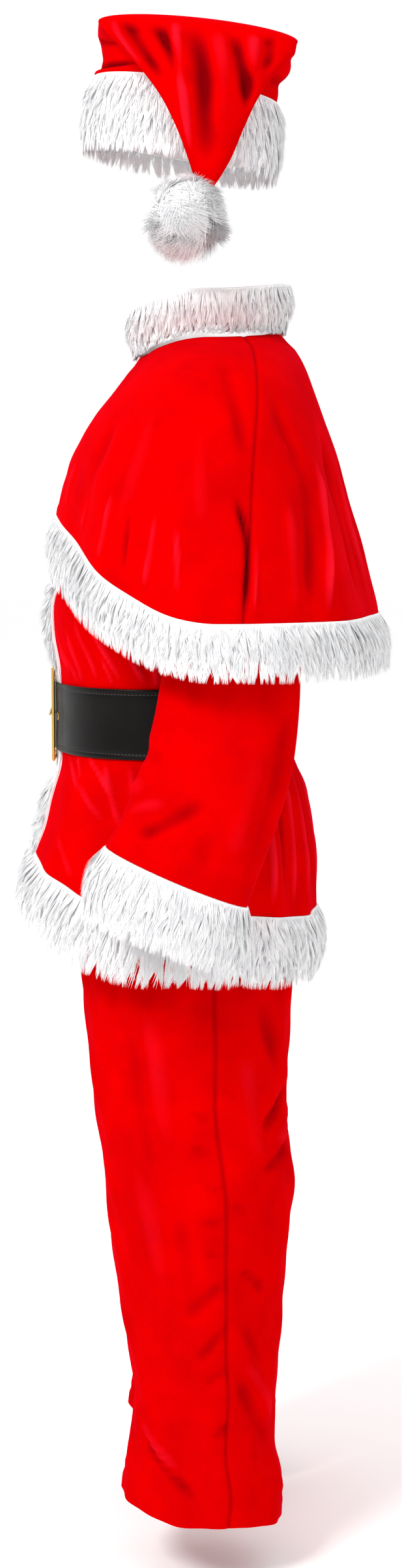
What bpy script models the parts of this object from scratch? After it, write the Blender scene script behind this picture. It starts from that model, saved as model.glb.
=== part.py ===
"""A worn father christmas suit: plush-trimmed velvet hat, shoulder cape, belted coat and trousers.

Everything is in metres and +Z is up. The suit faces -Y and its left side is +X. Heights in the
tables are over the floor that the wearer stands on. The parent empty then carries every piece down,
so that the world origin is the middle of the neck opening, where the wearer's shoulders hold it.
"""

import math
from collections import namedtuple

import bmesh
import bpy
import numpy as np
from mathutils import Vector

# Driving dimensions.
NECK_HEIGHT = 1.55
NECK_BEHIND_ANKLES = 0.025
CLOTH = 0.002
LEATHER = 0.003
WAISTBAND_THICK = 0.003
SEAM_GAP = 0.0003
STEP_ANGLE = 0.5
STEP_HEIGHT = 0.002
LAYER_GAP = 0.0004
SHARP_EDGE = 40
ROUNDING = 1e-9
PILE = 0.013
PRESSED_PILE = 0.003

# One row is one level ring. side_z, front_z and back_z are the ring's heights at the sides, the
# centre front and the centre back; half_width runs along X, front_y and back_y along Y. square
# is the power of the ring's superellipse, which is 2 for a plain ellipse.
Section = namedtuple("Section", "side_z front_z back_z half_width front_y back_y middle_x square")

# A grid of points, its rows going up and its columns anticlockwise from above, and the direction
# out of the wall at each point.
Sheet = namedtuple("Sheet", "points normals")

COAT_SECTIONS = [
    Section(0.775, 0.848, 0.750, 0.241, -0.234, 0.141, 0.0, 2.3),
    Section(0.860, 0.912, 0.833, 0.235, -0.214, 0.144, 0.0, 2.3),
    Section(0.920, 0.950, 0.905, 0.229, -0.199, 0.140, 0.0, 2.3),
    Section(0.985, 0.992, 0.980, 0.218, -0.189, 0.131, 0.0, 2.3),
    Section(1.022, 1.022, 1.018, 0.207, -0.181, 0.121, 0.0, 2.3),
    Section(1.042, 1.040, 1.038, 0.202, -0.180, 0.117, 0.0, 2.3),
    Section(1.085, 1.083, 1.081, 0.199, -0.179, 0.113, 0.0, 2.3),
    Section(1.128, 1.126, 1.124, 0.202, -0.180, 0.116, 0.0, 2.3),
    Section(1.150, 1.149, 1.147, 0.206, -0.181, 0.119, 0.0, 2.3),
    Section(1.190, 1.190, 1.190, 0.212, -0.188, 0.126, 0.0, 2.3),
    Section(1.230, 1.230, 1.230, 0.217, -0.187, 0.132, 0.0, 2.3),
    Section(1.264, 1.264, 1.264, 0.219, -0.172, 0.137, 0.0, 2.3),
    Section(1.300, 1.300, 1.300, 0.221, -0.166, 0.141, 0.0, 2.3),
    Section(1.390, 1.390, 1.390, 0.222, -0.152, 0.147, 0.0, 2.3),
    Section(1.450, 1.430, 1.450, 0.218, -0.134, 0.140, 0.0, 2.3),
    Section(1.480, 1.448, 1.482, 0.209, -0.118, 0.128, 0.0, 2.2),
    Section(1.513, 1.472, 1.510, 0.174, -0.100, 0.118, 0.0, 2.1),
    Section(1.539, 1.500, 1.539, 0.130, -0.086, 0.107, 0.0, 2.0),
    Section(1.551, 1.520, 1.558, 0.088, -0.074, 0.097, 0.0, 2.0),
]

CAPE_SECTIONS = [
    Section(1.150, 1.262, 1.142, 0.366, -0.186, 0.229, 0.0, 2.0),
    Section(1.215, 1.338, 1.213, 0.358, -0.183, 0.222, 0.0, 2.0),
    Section(1.260, 1.354, 1.262, 0.350, -0.180, 0.211, 0.0, 2.0),
    Section(1.320, 1.376, 1.312, 0.336, -0.175, 0.197, 0.0, 2.0),
    Section(1.380, 1.402, 1.370, 0.316, -0.166, 0.180, 0.0, 2.0),
    Section(1.440, 1.432, 1.425, 0.286, -0.152, 0.166, 0.0, 2.0),
    Section(1.490, 1.462, 1.475, 0.242, -0.132, 0.150, 0.0, 2.0),
    Section(1.520, 1.487, 1.515, 0.190, -0.112, 0.135, 0.0, 2.0),
    Section(1.542, 1.512, 1.543, 0.130, -0.094, 0.119, 0.0, 2.0),
    Section(1.554, 1.530, 1.562, 0.088, -0.080, 0.101, 0.0, 2.0),
    Section(1.585, 1.562, 1.597, 0.091, -0.084, 0.105, 0.0, 2.0),
    Section(1.612, 1.590, 1.624, 0.098, -0.090, 0.112, 0.0, 2.0),
]

# One trouser leg, from the hem up. Above the crotch the ring crosses X = 0 and is cut there.
LEG_SECTIONS = [
    Section(0.085, 0.102, 0.066, 0.090, -0.101, 0.103, 0.143, 2.0),
    Section(0.120, 0.134, 0.110, 0.090, -0.096, 0.106, 0.142, 2.0),
    Section(0.170, 0.178, 0.166, 0.089, -0.089, 0.094, 0.140, 2.0),
    Section(0.240, 0.240, 0.240, 0.090, -0.087, 0.096, 0.137, 2.0),
    Section(0.340, 0.340, 0.340, 0.094, -0.101, 0.103, 0.133, 2.0),
    Section(0.440, 0.440, 0.440, 0.098, -0.115, 0.113, 0.128, 2.0),
    Section(0.500, 0.500, 0.500, 0.100, -0.122, 0.117, 0.125, 2.0),
    Section(0.590, 0.590, 0.590, 0.102, -0.133, 0.107, 0.121, 2.0),
    Section(0.680, 0.680, 0.680, 0.104, -0.142, 0.112, 0.116, 2.0),
    Section(0.760, 0.760, 0.760, 0.107, -0.150, 0.117, 0.112, 2.0),
    Section(0.800, 0.800, 0.800, 0.109, -0.153, 0.120, 0.110, 2.0),
    Section(0.860, 0.860, 0.860, 0.121, -0.158, 0.122, 0.094, 2.0),
    Section(0.930, 0.930, 0.930, 0.146, -0.166, 0.120, 0.062, 2.0),
    Section(0.990, 0.990, 0.990, 0.172, -0.172, 0.114, 0.030, 2.0),
    Section(1.050, 1.050, 1.050, 0.1964, -0.1764, 0.1104, 0.0, 2.0),
    Section(1.090, 1.090, 1.090, 0.1964, -0.1764, 0.1104, 0.0, 2.0),
]

# One row is one ring of a bent tube. It is spanned by two diameters: from (in_x, in_z) to
# (out_x, out_z), and from front_y to back_y, with the front end higher by front_rise.
Hoop = namedtuple("Hoop", "in_x in_z out_x out_z front_y back_y front_rise")

HAT_BAND_HOOPS = [
    Hoop(0.098, 1.7690, -0.098, 1.7690, -0.142, 0.088, 0.038),
    Hoop(0.098, 1.8155, -0.098, 1.8155, -0.138, 0.092, 0.036),
    Hoop(0.098, 1.8620, -0.098, 1.8620, -0.133, 0.096, 0.034),
]
HAT_HOOPS = [
    Hoop(0.098, 1.8626, -0.098, 1.8626, -0.133, 0.096, 0.034),
    Hoop(0.0985, 1.868, -0.0985, 1.868, -0.1325, 0.0955, 0.034),
    Hoop(0.101, 1.880, -0.104, 1.885, -0.123, 0.101, 0.030),
    Hoop(0.102, 1.888, -0.102, 1.912, -0.125, 0.112, 0.027),
    Hoop(0.104, 1.892, -0.080, 1.930, -0.128, 0.116, 0.025),
    Hoop(0.106, 1.895, -0.030, 1.940, -0.127, 0.117, 0.024),
    Hoop(0.109, 1.897, 0.035, 1.940, -0.125, 0.117, 0.024),
    Hoop(0.112, 1.897, 0.090, 1.934, -0.124, 0.117, 0.024),
    Hoop(0.115, 1.896, 0.126, 1.924, -0.122, 0.115, 0.024),
    Hoop(0.118, 1.891, 0.142, 1.904, -0.114, 0.110, 0.024),
    Hoop(0.119, 1.866, 0.148, 1.870, -0.080, 0.090, 0.014),
    Hoop(0.119, 1.833, 0.147, 1.835, -0.050, 0.068, 0.006),
    Hoop(0.119, 1.797, 0.145, 1.798, -0.030, 0.051, 0.003),
    Hoop(0.121, 1.765, 0.142, 1.766, -0.017, 0.038, 0.0),
    Hoop(0.124, 1.742, 0.140, 1.743, -0.009, 0.025, 0.0),
    Hoop(0.128, 1.728, 0.138, 1.728, 0.001, 0.015, 0.0),
]

# The left sleeve below its head, from the shoulder to the end of the cuff.
SLEEVE_HOOPS = [
    Hoop(0.2315, 1.299, 0.233, 1.470, -0.088, 0.108, 0.0),
    Hoop(0.2340, 1.290, 0.258, 1.440, -0.084, 0.112, 0.0),
    Hoop(0.2360, 1.270, 0.287, 1.378, -0.074, 0.112, 0.0),
    Hoop(0.2380, 1.235, 0.307, 1.300, -0.060, 0.114, 0.0),
    Hoop(0.2400, 1.180, 0.324, 1.206, -0.043, 0.116, 0.0),
    Hoop(0.2430, 1.115, 0.340, 1.122, -0.051, 0.115, 0.006),
    Hoop(0.2490, 1.050, 0.353, 1.052, -0.065, 0.106, 0.024),
    Hoop(0.2560, 0.995, 0.363, 0.995, -0.080, 0.087, 0.046),
    Hoop(0.2620, 0.955, 0.370, 0.955, -0.094, 0.069, 0.060),
    Hoop(0.2675, 0.920, 0.376, 0.920, -0.111, 0.054, 0.071),
    Hoop(0.2700, 0.880, 0.381, 0.880, -0.124, 0.045, 0.070),
    Hoop(0.2720, 0.842, 0.385, 0.842, -0.130, 0.035, 0.066),
]
FIRST_CUFF_HOOP = 9

ARMHOLE_MIDDLE_Z = 1.39
ARMHOLE_HALF_HEIGHT = 0.09
ARMHOLE_HALF_ANGLE = 38.0
ARMHOLE_STEPS = 7

# A soft ridge (depth over 0) or trough (under 0) that runs up a wall. angle and width are degrees
# round the ring.
Fold = namedtuple("Fold", "angle width depth low_z high_z")

COAT_FOLDS = [
    Fold(-56, 7, 0.004, 0.70, 1.02),
    Fold(-33, 8, 0.005, 0.70, 1.02),
    Fold(-11, 7, 0.004, 0.70, 1.02),
    Fold(16, 7, 0.006, 0.70, 1.02),
    Fold(41, 7, 0.008, 0.70, 1.02),
    Fold(65, 7, 0.006, 0.70, 1.02),
    Fold(90, 7, 0.007, 0.70, 1.02),
    Fold(115, 7, 0.006, 0.70, 1.02),
    Fold(139, 7, 0.008, 0.70, 1.02),
    Fold(164, 7, 0.005, 0.70, 1.02),
    Fold(-44, 7, 0.004, 1.14, 1.30),
    Fold(-22, 7, 0.004, 1.14, 1.30),
    Fold(41, 7, 0.004, 1.14, 1.30),
    Fold(65, 7, 0.004, 1.14, 1.30),
    Fold(115, 7, 0.004, 1.14, 1.30),
    Fold(139, 7, 0.004, 1.14, 1.30),
]
CAPE_FOLDS = [
    Fold(-60, 8, -0.004, 1.05, 1.42),
    Fold(-40, 9, 0.006, 1.05, 1.44),
    Fold(-15, 9, 0.005, 1.05, 1.42),
    Fold(45, 9, 0.009, 1.05, 1.47),
    Fold(68, 8, -0.005, 1.05, 1.42),
    Fold(90, 8, 0.006, 1.05, 1.47),
    Fold(112, 8, -0.006, 1.05, 1.43),
    Fold(135, 9, 0.009, 1.05, 1.47),
]
FOLD_FADE = 0.09

# Where the panels meet, as angles round the ring, and the columns that each panel has between.
FRONT_BAND_ANGLES = [-90, -84, -78]
FRONT_COLUMNS = 7
BACK_COLUMNS = 23
BAND_COLUMNS = 24
HAT_COLUMNS = 18
CAPE_FRONT_COLUMNS = 9
CAPE_BACK_COLUMNS = 19
CAPE_SEAM_AT_HEM = 8
CAPE_SEAM_AT_NECK = 28
LEG_COLUMNS = 8
LEG_SEAM_AT_HEM = 20
LEG_SEAM_AT_WAIST = 12

COAT_SKIRT_ROWS = [0.860, 0.900, 0.945, 0.985, 1.022]
BELT_ROWS = [1.042, 1.085, 1.128]
COAT_CHEST_ROWS = [1.150, 1.185, 1.225, 1.264]
COAT_SHOULDER_ROWS = [1.500, 1.522, 1.539, 1.551]
CAPE_ROWS = [1.215, 1.260, 1.320, 1.375, 1.425, 1.468, 1.503, 1.525, 1.542, 1.554]
COLLAR_ROWS = [1.5544, 1.570, 1.590, 1.612]
LEG_ROWS = [0.085, 0.120, 0.170, 0.240, 0.340, 0.430, 0.500, 0.590, 0.680, 0.760]
LEG_SEAT_ROWS = [0.800, 0.850, 0.910, 0.980, 1.050]
WAISTBAND_ROWS = [1.0504, 1.090]
PRESSED_ROWS = (1.022, 1.150)
PILE_RECOVERY = 0.034
UNDER_CAPE = 1.25
COVERED_PILE = 0.004
COAT_TRIM_DEPTH = 0.085
CAPE_TRIM_DEPTH = 0.065
TUFT_DEPTH = 0.004

# The tufts of a trim's free edge are two sine waves along its columns.
TuftWave = namedtuple("TuftWave", "share rate start")
TUFT_WAVES = [TuftWave(0.6, 2.3, 0.0), TuftWave(0.4, 1.1, 0.7)]

# How far the pile stands out of the cloth at each row of a trim, from its free edge to its seam,
# and of the collar, from its seam up.
TRIM_PILE = [0.003, 0.010, 0.013, 0.012, 0.005]
COLLAR_PILE = [0.004, 0.011, 0.013, 0.004]

# The strap as it is wound, from its tip on the right front, over the buckle's right side, through
# the frame, round the left and the back, and home behind the buckle's right side. lift is the
# height over a single layer of strap on the coat.
StrapStation = namedtuple("StrapStation", "angle lift")
STRAP_STATIONS = [
    StrapStation(-131.0, 0.0034),
    StrapStation(-128.5, 0.0034),
    StrapStation(-110.0, 0.0038),
    StrapStation(-102.5, 0.0104),
    StrapStation(-99.0, 0.0096),
    StrapStation(-90.0, 0.0045),
    StrapStation(-84.0, 0.0015),
    StrapStation(-80.8, 0.0),
    StrapStation(262.0, 0.0),
]
STRAP_ROWS = [1.042, 1.081, 1.089, 1.128]
STRAP_TIP_SHARE = 0.55
STRAP_CLEAR_OF_BAND = (12.0, 23.0)
STRAP_CLEAR_OF_MIDDLE = 1.0
STRAP_HOLE_ANGLES = (-98.0, -94.5)
EYELET_RADIUS = 0.005
EYELET_HOLE = 0.0025
EYELET_THICK = 0.0008
EYELET_SIDES = 12

BUCKLE_WIDTH = 0.100
BUCKLE_HEIGHT = 0.120
BUCKLE_BAR = 0.009
BUCKLE_THICK = 0.004
BUCKLE_ROUNDING = 0.0012
PRONG_RADIUS = 0.0015
PRONG_SIDES = 8

# The prong turns on the buckle's right side, comes up through the strap's hole and rests on the
# left side. forward is its distance in front of the frame's back.
ProngPoint = namedtuple("ProngPoint", "x forward")
PRONG_POINTS = [
    ProngPoint(-0.0405, 0.0020),
    ProngPoint(-0.0355, 0.0022),
    ProngPoint(-0.0260, 0.0090),
    ProngPoint(-0.0200, 0.0092),
    ProngPoint(0.0400, 0.0062),
    ProngPoint(0.0510, 0.0059),
]

POMPOM_MIDDLE = (0.1335, -0.0187, 1.7003)
POMPOM_TO_TIP = (0.0, 0.69, 0.72)
POMPOM_CORE = 0.034
POMPOM_REACH = 0.051
POMPOM_SEWN_ON = 0.80
POMPOM_SHORT_LOCK = 0.003
LOCK_ROOT_GAP = 0.0012
LOCK_TIP_SHARE = 0.25
LOCK_DROOP = 0.10
LOCK_LENGTH_RANGE = (0.64, 1.0)
LOCK_LENGTH_RATE = 2.1

RED_VELVET = ("red velvet", (0.82, 0.005, 0.008), 0.85, 0.0)
WHITE_PLUSH = ("white plush", (0.92, 0.92, 0.93), 0.95, 0.0)
BLACK_LEATHERETTE = ("black leatherette", (0.02, 0.018, 0.017), 0.45, 0.0)
GILT_METAL = ("gilt metal", (0.83, 0.62, 0.25), 0.25, 1.0)


def clear_scene():
    for old in list(bpy.data.objects):
        bpy.data.objects.remove(old, do_unlink=True)


def material_of(finish):
    name, colour, roughness, metallic = finish
    made = bpy.data.materials.get(name)
    if made is None:
        made = bpy.data.materials.new(name)
        made.use_nodes = True
        shader = made.node_tree.nodes["Principled BSDF"]
        shader.inputs["Base Color"].default_value = (*colour, 1.0)
        shader.inputs["Roughness"].default_value = roughness
        shader.inputs["Metallic"].default_value = metallic
    return made


def smooth_row(rows, height):
    """The row at that side height, on a smooth curve through the table's rows."""
    heights = [row[0] for row in rows]
    i = int(np.clip(np.searchsorted(heights, height) - 1, 0, len(rows) - 2))
    span = heights[i + 1] - heights[i]
    t = (height - heights[i]) / span
    before, after = max(i - 1, 0), min(i + 2, len(rows) - 1)
    low, high = np.array(rows[i]), np.array(rows[i + 1])
    slope_low = (high - np.array(rows[before])) / (heights[i + 1] - heights[before])
    slope_high = (np.array(rows[after]) - low) / (heights[after] - heights[i])
    made = (
        (2 * t**3 - 3 * t**2 + 1) * low
        + (t**3 - 2 * t**2 + t) * span * slope_low
        + (3 * t**2 - 2 * t**3) * high
        + (t**3 - t**2) * span * slope_high
    )
    return type(rows[0])(*made)


def signed_power(value, exponent):
    return math.copysign(abs(value) ** exponent, value)


def on_both_fronts(folds):
    """The folds, with those of the left front repeated on the right front."""
    return folds + [f._replace(angle=180 - f.angle) for f in folds if f.angle < 0]


def fold_lift(folds, angle, height):
    """How far the folds push the wall out at that angle, in degrees, and height."""
    lift = 0.0
    for fold in folds:
        away = (angle - fold.angle + 180) % 360 - 180
        rise = min(max((fold.high_z - height) / FOLD_FADE, 0.0), 1.0)
        rise *= min(max((height - fold.low_z) / FOLD_FADE, 0.0), 1.0)
        lift += fold.depth * rise * math.exp(-((away / fold.width) ** 2))
    return lift


def ring_point(section, angle, lift=0.0):
    """A point of a level ring. The angle is in degrees: 0 is left, 90 back and -90 front."""
    c, s = math.cos(math.radians(angle)), math.sin(math.radians(angle))
    middle_y = (section.front_y + section.back_y) / 2
    half_depth = (section.back_y - section.front_y) / 2
    end_z = section.back_z if s > 0 else section.front_z
    x = section.middle_x + (section.half_width + lift) * signed_power(c, 2 / section.square)
    y = middle_y + (half_depth + lift) * signed_power(s, 2 / section.square)
    return (x, y, section.side_z + (end_z - section.side_z) * s * s)


def angle_off_axis(distance, half_length, square):
    """The angle from an axis of a ring at which its points lie that distance to one side."""
    return math.degrees(math.asin((distance / half_length) ** (square / 2)))


def sheet_of(sections, folds, heights, columns_at):
    """The sheet through a garment's sections; columns_at(height) gives the angles of one row."""
    def at(height, angle):
        lift = fold_lift(folds, angle, height)
        return np.array(ring_point(smooth_row(sections, height), angle, lift))

    points, normals = [], []
    for height in heights:
        row = columns_at(height)
        points.append([at(height, a) for a in row])
        normals.append([
            np.cross(at(height, a + STEP_ANGLE) - at(height, a - STEP_ANGLE),
                     at(height + STEP_HEIGHT, a) - at(height - STEP_HEIGHT, a))
            for a in row
        ])
    return Sheet(np.array(points), unit(np.array(normals)))


def unit(vectors):
    return vectors / np.linalg.norm(vectors, axis=-1, keepdims=True)


def hoop_point(hoop, turn, toward_front):
    """A point of a bent tube's ring. turn 0 is the in side, and 90 the front or the back."""
    c, s = math.cos(math.radians(turn)), math.sin(math.radians(turn))
    side = 1 if toward_front else -1
    return (
        (hoop.in_x + hoop.out_x) / 2 + (hoop.in_x - hoop.out_x) / 2 * c,
        (hoop.front_y + hoop.back_y) / 2 + side * (hoop.front_y - hoop.back_y) / 2 * s,
        (hoop.in_z + hoop.out_z) / 2
        + (hoop.in_z - hoop.out_z) / 2 * c
        + side * hoop.front_rise / 2 * s,
    )


def with_halfway_rings(rings):
    """The same rings, with one more halfway between each two."""
    rings = np.array(rings)
    made = np.repeat(rings, 2, axis=0)[:-1]
    made[1::2] = (rings[:-1] + rings[1:]) / 2
    return made


def tube_of(rings):
    """The sheet through the rings of a bent tube, which are closed."""
    points = np.array(rings)
    wide = np.concatenate([points[:, -1:], points, points[:, :1]], axis=1)
    along = wide[:, 2:] - wide[:, :-2]
    return Sheet(points, unit(np.cross(along, np.gradient(points, axis=0))))


def moved_out(sheet, distance):
    """The sheet's points moved out of the wall. distance is one number or one for each point."""
    reach = np.broadcast_to(np.asarray(distance, float), sheet.points.shape[:2])
    return sheet.points + sheet.normals * reach[:, :, None]


def mirrored(sheet):
    """The same sheet on the other side of X = 0, its columns still anticlockwise."""
    other_side = np.array([-1.0, 1.0, 1.0])
    return Sheet(sheet.points[:, ::-1] * other_side, sheet.normals[:, ::-1] * other_side)


def rows_and_columns(sheet, rows, columns):
    return Sheet(sheet.points[rows, columns], sheet.normals[rows, columns])


def mesh_object(name, points, faces, finish, parent):
    mesh = bpy.data.meshes.new(name)
    mesh.from_pydata([tuple(p) for p in points], [], faces)
    mesh.update()
    made = bpy.data.objects.new(name, mesh)
    bpy.context.scene.collection.objects.link(made)
    mesh.materials.append(material_of(finish))
    mesh.shade_smooth()
    mesh.set_sharp_from_angle(angle=math.radians(SHARP_EDGE))
    made.parent = parent
    return made


def wall(name, outer, inner, finish, parent, closed=False, tip=False, hole=None):
    """One closed solid between two grids of points.

    tip closes the last row to a cap, and hole is the row and column of a cell cut through.
    """
    rows, columns = outer.shape[:2]
    side = rows * columns
    points = list(outer.reshape(-1, 3)) + list(inner.reshape(-1, 3))
    faces = []

    def index(row, column, layer):
        return layer * side + row * columns + column % columns

    def quad(a, b, c, d):
        faces.append((a, b, c))
        faces.append((a, c, d))

    last = columns if closed else columns - 1
    for r in range(rows - 1):
        for c in range(last):
            if (r, c) == hole:
                rim = [(r, c), (r, c + 1), (r + 1, c + 1), (r + 1, c)]
                for (r0, c0), (r1, c1) in zip(rim, rim[1:] + rim[:1]):
                    quad(index(r0, c0, 0), index(r1, c1, 0), index(r1, c1, 1), index(r0, c0, 1))
                continue
            quad(index(r, c, 0), index(r, c + 1, 0), index(r + 1, c + 1, 0), index(r + 1, c, 0))
            quad(index(r, c, 1), index(r + 1, c, 1), index(r + 1, c + 1, 1), index(r, c + 1, 1))
    for c in range(last):
        quad(index(0, c + 1, 0), index(0, c, 0), index(0, c, 1), index(0, c + 1, 1))
        if not tip:
            quad(index(rows - 1, c, 0), index(rows - 1, c + 1, 0),
                 index(rows - 1, c + 1, 1), index(rows - 1, c, 1))
    if tip:
        for layer, grid in enumerate((outer, inner)):
            points.append(grid[-1].mean(axis=0))
            for c in range(last):
                edge = (index(rows - 1, c, layer), index(rows - 1, c + 1, layer))
                a, b = edge if layer == 0 else edge[::-1]
                faces.append((a, b, len(points) - 1))
    if not closed:
        for r in range(rows - 1):
            quad(index(r, 0, 0), index(r + 1, 0, 0), index(r + 1, 0, 1), index(r, 0, 1))
            quad(index(r + 1, last, 0), index(r, last, 0), index(r, last, 1), index(r + 1, last, 1))
    return mesh_object(name, points, faces, finish, parent)


def cloth_wall(name, sheet, parent, closed=False, tip=False, thickness=CLOTH):
    """A wall of velvet whose outer face is the sheet."""
    inner = moved_out(sheet, -thickness)
    return wall(name, sheet.points, inner, RED_VELVET, parent, closed, tip)


def trim_wall(name, sheet, parent, closed=False):
    """A plush trim: its backing lies in line with the cloth, and its pile stands out of it."""
    rows = np.linspace(0, 1, len(sheet.points))
    pile = np.interp(rows, np.linspace(0, 1, len(TRIM_PILE)), TRIM_PILE)
    outer = moved_out(sheet, pile[:, None])
    return wall(name, outer, moved_out(sheet, -CLOTH), WHITE_PLUSH, parent, closed)


def armhole_rows():
    """The side heights of the coat's rows at the armhole, from the armpit to the shoulder."""
    steps = [math.pi * k / ARMHOLE_STEPS for k in range(ARMHOLE_STEPS + 1)]
    return [ARMHOLE_MIDDLE_Z - ARMHOLE_HALF_HEIGHT * math.cos(s) for s in steps]


def coat_side_angle(height):
    """Where the coat's front and back end at that height: at the side seam or the armhole."""
    share = (height - ARMHOLE_MIDDLE_Z) / ARMHOLE_HALF_HEIGHT
    if abs(share) < 1 - ROUNDING:
        return ARMHOLE_HALF_ANGLE * math.sqrt(1 - share * share)
    section = smooth_row(COAT_SECTIONS, height)
    half_depth = (section.back_y - section.front_y) / 2
    return angle_off_axis(SEAM_GAP / 2, half_depth, section.square)


def coat_front_columns(height):
    """Angles across the left front: the band's columns first, then on to the side or armhole."""
    section = smooth_row(COAT_SECTIONS, height)
    middle = -90 + angle_off_axis(SEAM_GAP / 2, section.half_width, section.square)
    band_end = FRONT_BAND_ANGLES[-1]
    rest = np.linspace(band_end, -coat_side_angle(height), FRONT_COLUMNS + 1)
    return [middle] + FRONT_BAND_ANGLES[1:] + list(rest[1:])


def coat_back_columns(height):
    edge = coat_side_angle(height)
    return list(np.linspace(edge, 180 - edge, BACK_COLUMNS))


def coat_sheet(heights, columns_at):
    return sheet_of(COAT_SECTIONS, on_both_fronts(COAT_FOLDS), heights, columns_at)


def coat_heights():
    return COAT_SKIRT_ROWS + BELT_ROWS + COAT_CHEST_ROWS + armhole_rows() + COAT_SHOULDER_ROWS


def trim_heights(seam, depth):
    """Rows of a trim under a seam, from the free edge up."""
    return list(np.linspace(seam - depth, seam - LAYER_GAP, len(TRIM_PILE)))


def tufted(sheet):
    """The free edge of a trim, its first row, hanging in uneven tufts."""
    points = sheet.points.copy()
    columns = np.arange(points.shape[1])
    uneven = sum(w.share * np.sin(w.rate * columns + w.start) for w in TUFT_WAVES)
    uneven[[0, -1]] = 0.0
    points[0, :, 2] += TUFT_DEPTH * uneven
    return Sheet(points, sheet.normals)


def make_coat(parent):
    heights = coat_heights()
    front = coat_sheet(heights, coat_front_columns)
    cloth_wall("coat_front_left", front, parent)
    cloth_wall("coat_front_right", mirrored(front), parent)
    cloth_wall("coat_back", coat_sheet(heights, coat_back_columns), parent)

    hem = trim_heights(COAT_SKIRT_ROWS[0], COAT_TRIM_DEPTH)
    left_hem = tufted(coat_sheet(hem, coat_front_columns))
    trim_wall("coat_hem_trim_left", left_hem, parent)
    trim_wall("coat_hem_trim_right", mirrored(left_hem), parent)
    trim_wall("coat_hem_trim_back", tufted(coat_sheet(hem, coat_back_columns)), parent)

    left_band = rows_and_columns(front, slice(0, -1), slice(0, len(FRONT_BAND_ANGLES)))
    pile = np.array([pile_of_band(h) for h in heights[:-1]])[:, None]
    for side, band in (("left", left_band), ("right", mirrored(left_band))):
        outer, inner = moved_out(band, LAYER_GAP + pile), moved_out(band, LAYER_GAP)
        wall("coat_front_trim_" + side, outer, inner, WHITE_PLUSH, parent)


def pile_of_band(height):
    """The front trim's pile, pressed flat behind the buckle and thinner under the cape."""
    if height > UNDER_CAPE:
        return COVERED_PILE
    off_belt = max(PRESSED_ROWS[0] - height, height - PRESSED_ROWS[1], 0.0)
    return PRESSED_PILE + (PILE - PRESSED_PILE) * min(off_belt / PILE_RECOVERY, 1.0)


def armhole_ring():
    """The armhole's edge on the left, from the armpit round the front, the top and the back."""
    steps = armhole_rows()
    turns = [(h, -1) for h in steps] + [(h, 1) for h in steps[-2:0:-1]]
    ring = []
    for height, side in turns:
        section, above_section = (
            smooth_row(COAT_SECTIONS, h) for h in (height, height + STEP_HEIGHT)
        )
        angle = side * coat_side_angle(height)
        here = np.array(ring_point(section, angle))
        beside = np.array(ring_point(section, angle + STEP_ANGLE))
        above = np.array(ring_point(above_section, angle))
        normal = np.cross(beside - here, above - here)
        ring.append(here + normal / np.linalg.norm(normal) * LAYER_GAP)
    return ring


def make_sleeves(parent):
    """One sleeve is cut in one piece with the seam under the arm, and its head fills the armhole."""
    turns = np.linspace(0, 360, 2 * ARMHOLE_STEPS + 1)[:-1]
    hoops = [[hoop_point(h, t, True) for t in turns] for h in SLEEVE_HOOPS]
    head = [armhole_ring()]
    arm = np.array((head + hoops[: FIRST_CUFF_HOOP + 1])[::-1])
    cuff = np.array(hoops[FIRST_CUFF_HOOP:][::-1])
    cuff[-1, :, 2] -= 2 * LAYER_GAP
    arm, cuff = tube_of(arm), tube_of(with_halfway_rings(cuff))
    for side, arm_tube, cuff_tube in (
        ("left", arm, cuff),
        ("right", mirrored(arm), mirrored(cuff)),
    ):
        cloth_wall("sleeve_" + side, arm_tube, parent, closed=True)
        trim_wall("cuff_trim_" + side, cuff_tube, parent, closed=True)


def cape_seam_angle(height):
    low, high = CAPE_ROWS[0], CAPE_ROWS[-1]
    share = min(max((height - low) / (high - low), 0.0), 1.0)
    return CAPE_SEAM_AT_HEM + (CAPE_SEAM_AT_NECK - CAPE_SEAM_AT_HEM) * share


def seam_half_gap(height):
    """Half a seam gap in degrees, on the cape's ring at that height."""
    return math.degrees(SEAM_GAP / 2 / smooth_row(CAPE_SECTIONS, height).half_width)


def cape_front_columns(height):
    start = -90 + seam_half_gap(height)
    end = cape_seam_angle(height) - seam_half_gap(height)
    return list(np.linspace(start, end, CAPE_FRONT_COLUMNS))


def cape_back_columns(height):
    start = cape_seam_angle(height) + seam_half_gap(height)
    return list(np.linspace(start, 180 - start, CAPE_BACK_COLUMNS))


def cape_sheet(heights, columns_at):
    return sheet_of(CAPE_SECTIONS, on_both_fronts(CAPE_FOLDS), heights, columns_at)


def make_cape(parent):
    front = cape_sheet(CAPE_ROWS, cape_front_columns)
    cloth_wall("cape_front_left", front, parent)
    cloth_wall("cape_front_right", mirrored(front), parent)
    cloth_wall("cape_back", cape_sheet(CAPE_ROWS, cape_back_columns), parent)

    hem = trim_heights(CAPE_ROWS[0], CAPE_TRIM_DEPTH)
    left_hem = tufted(cape_sheet(hem, cape_front_columns))
    trim_wall("cape_hem_trim_left", left_hem, parent)
    trim_wall("cape_hem_trim_right", mirrored(left_hem), parent)
    trim_wall("cape_hem_trim_back", tufted(cape_sheet(hem, cape_back_columns)), parent)


def collar_columns(height):
    """The collar's angles match the cape's at the neck seam, all the way round from the front."""
    front = cape_front_columns(CAPE_ROWS[-1])
    back = cape_back_columns(CAPE_ROWS[-1])
    right = [180 - a for a in front[::-1]]
    return front + back[1:-1] + right


def make_collar(parent):
    collar = cape_sheet(COLLAR_ROWS, collar_columns)
    outer = moved_out(collar, np.array(COLLAR_PILE)[:, None])
    wall("cape_collar", outer, moved_out(collar, -CLOTH), WHITE_PLUSH, parent)


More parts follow.
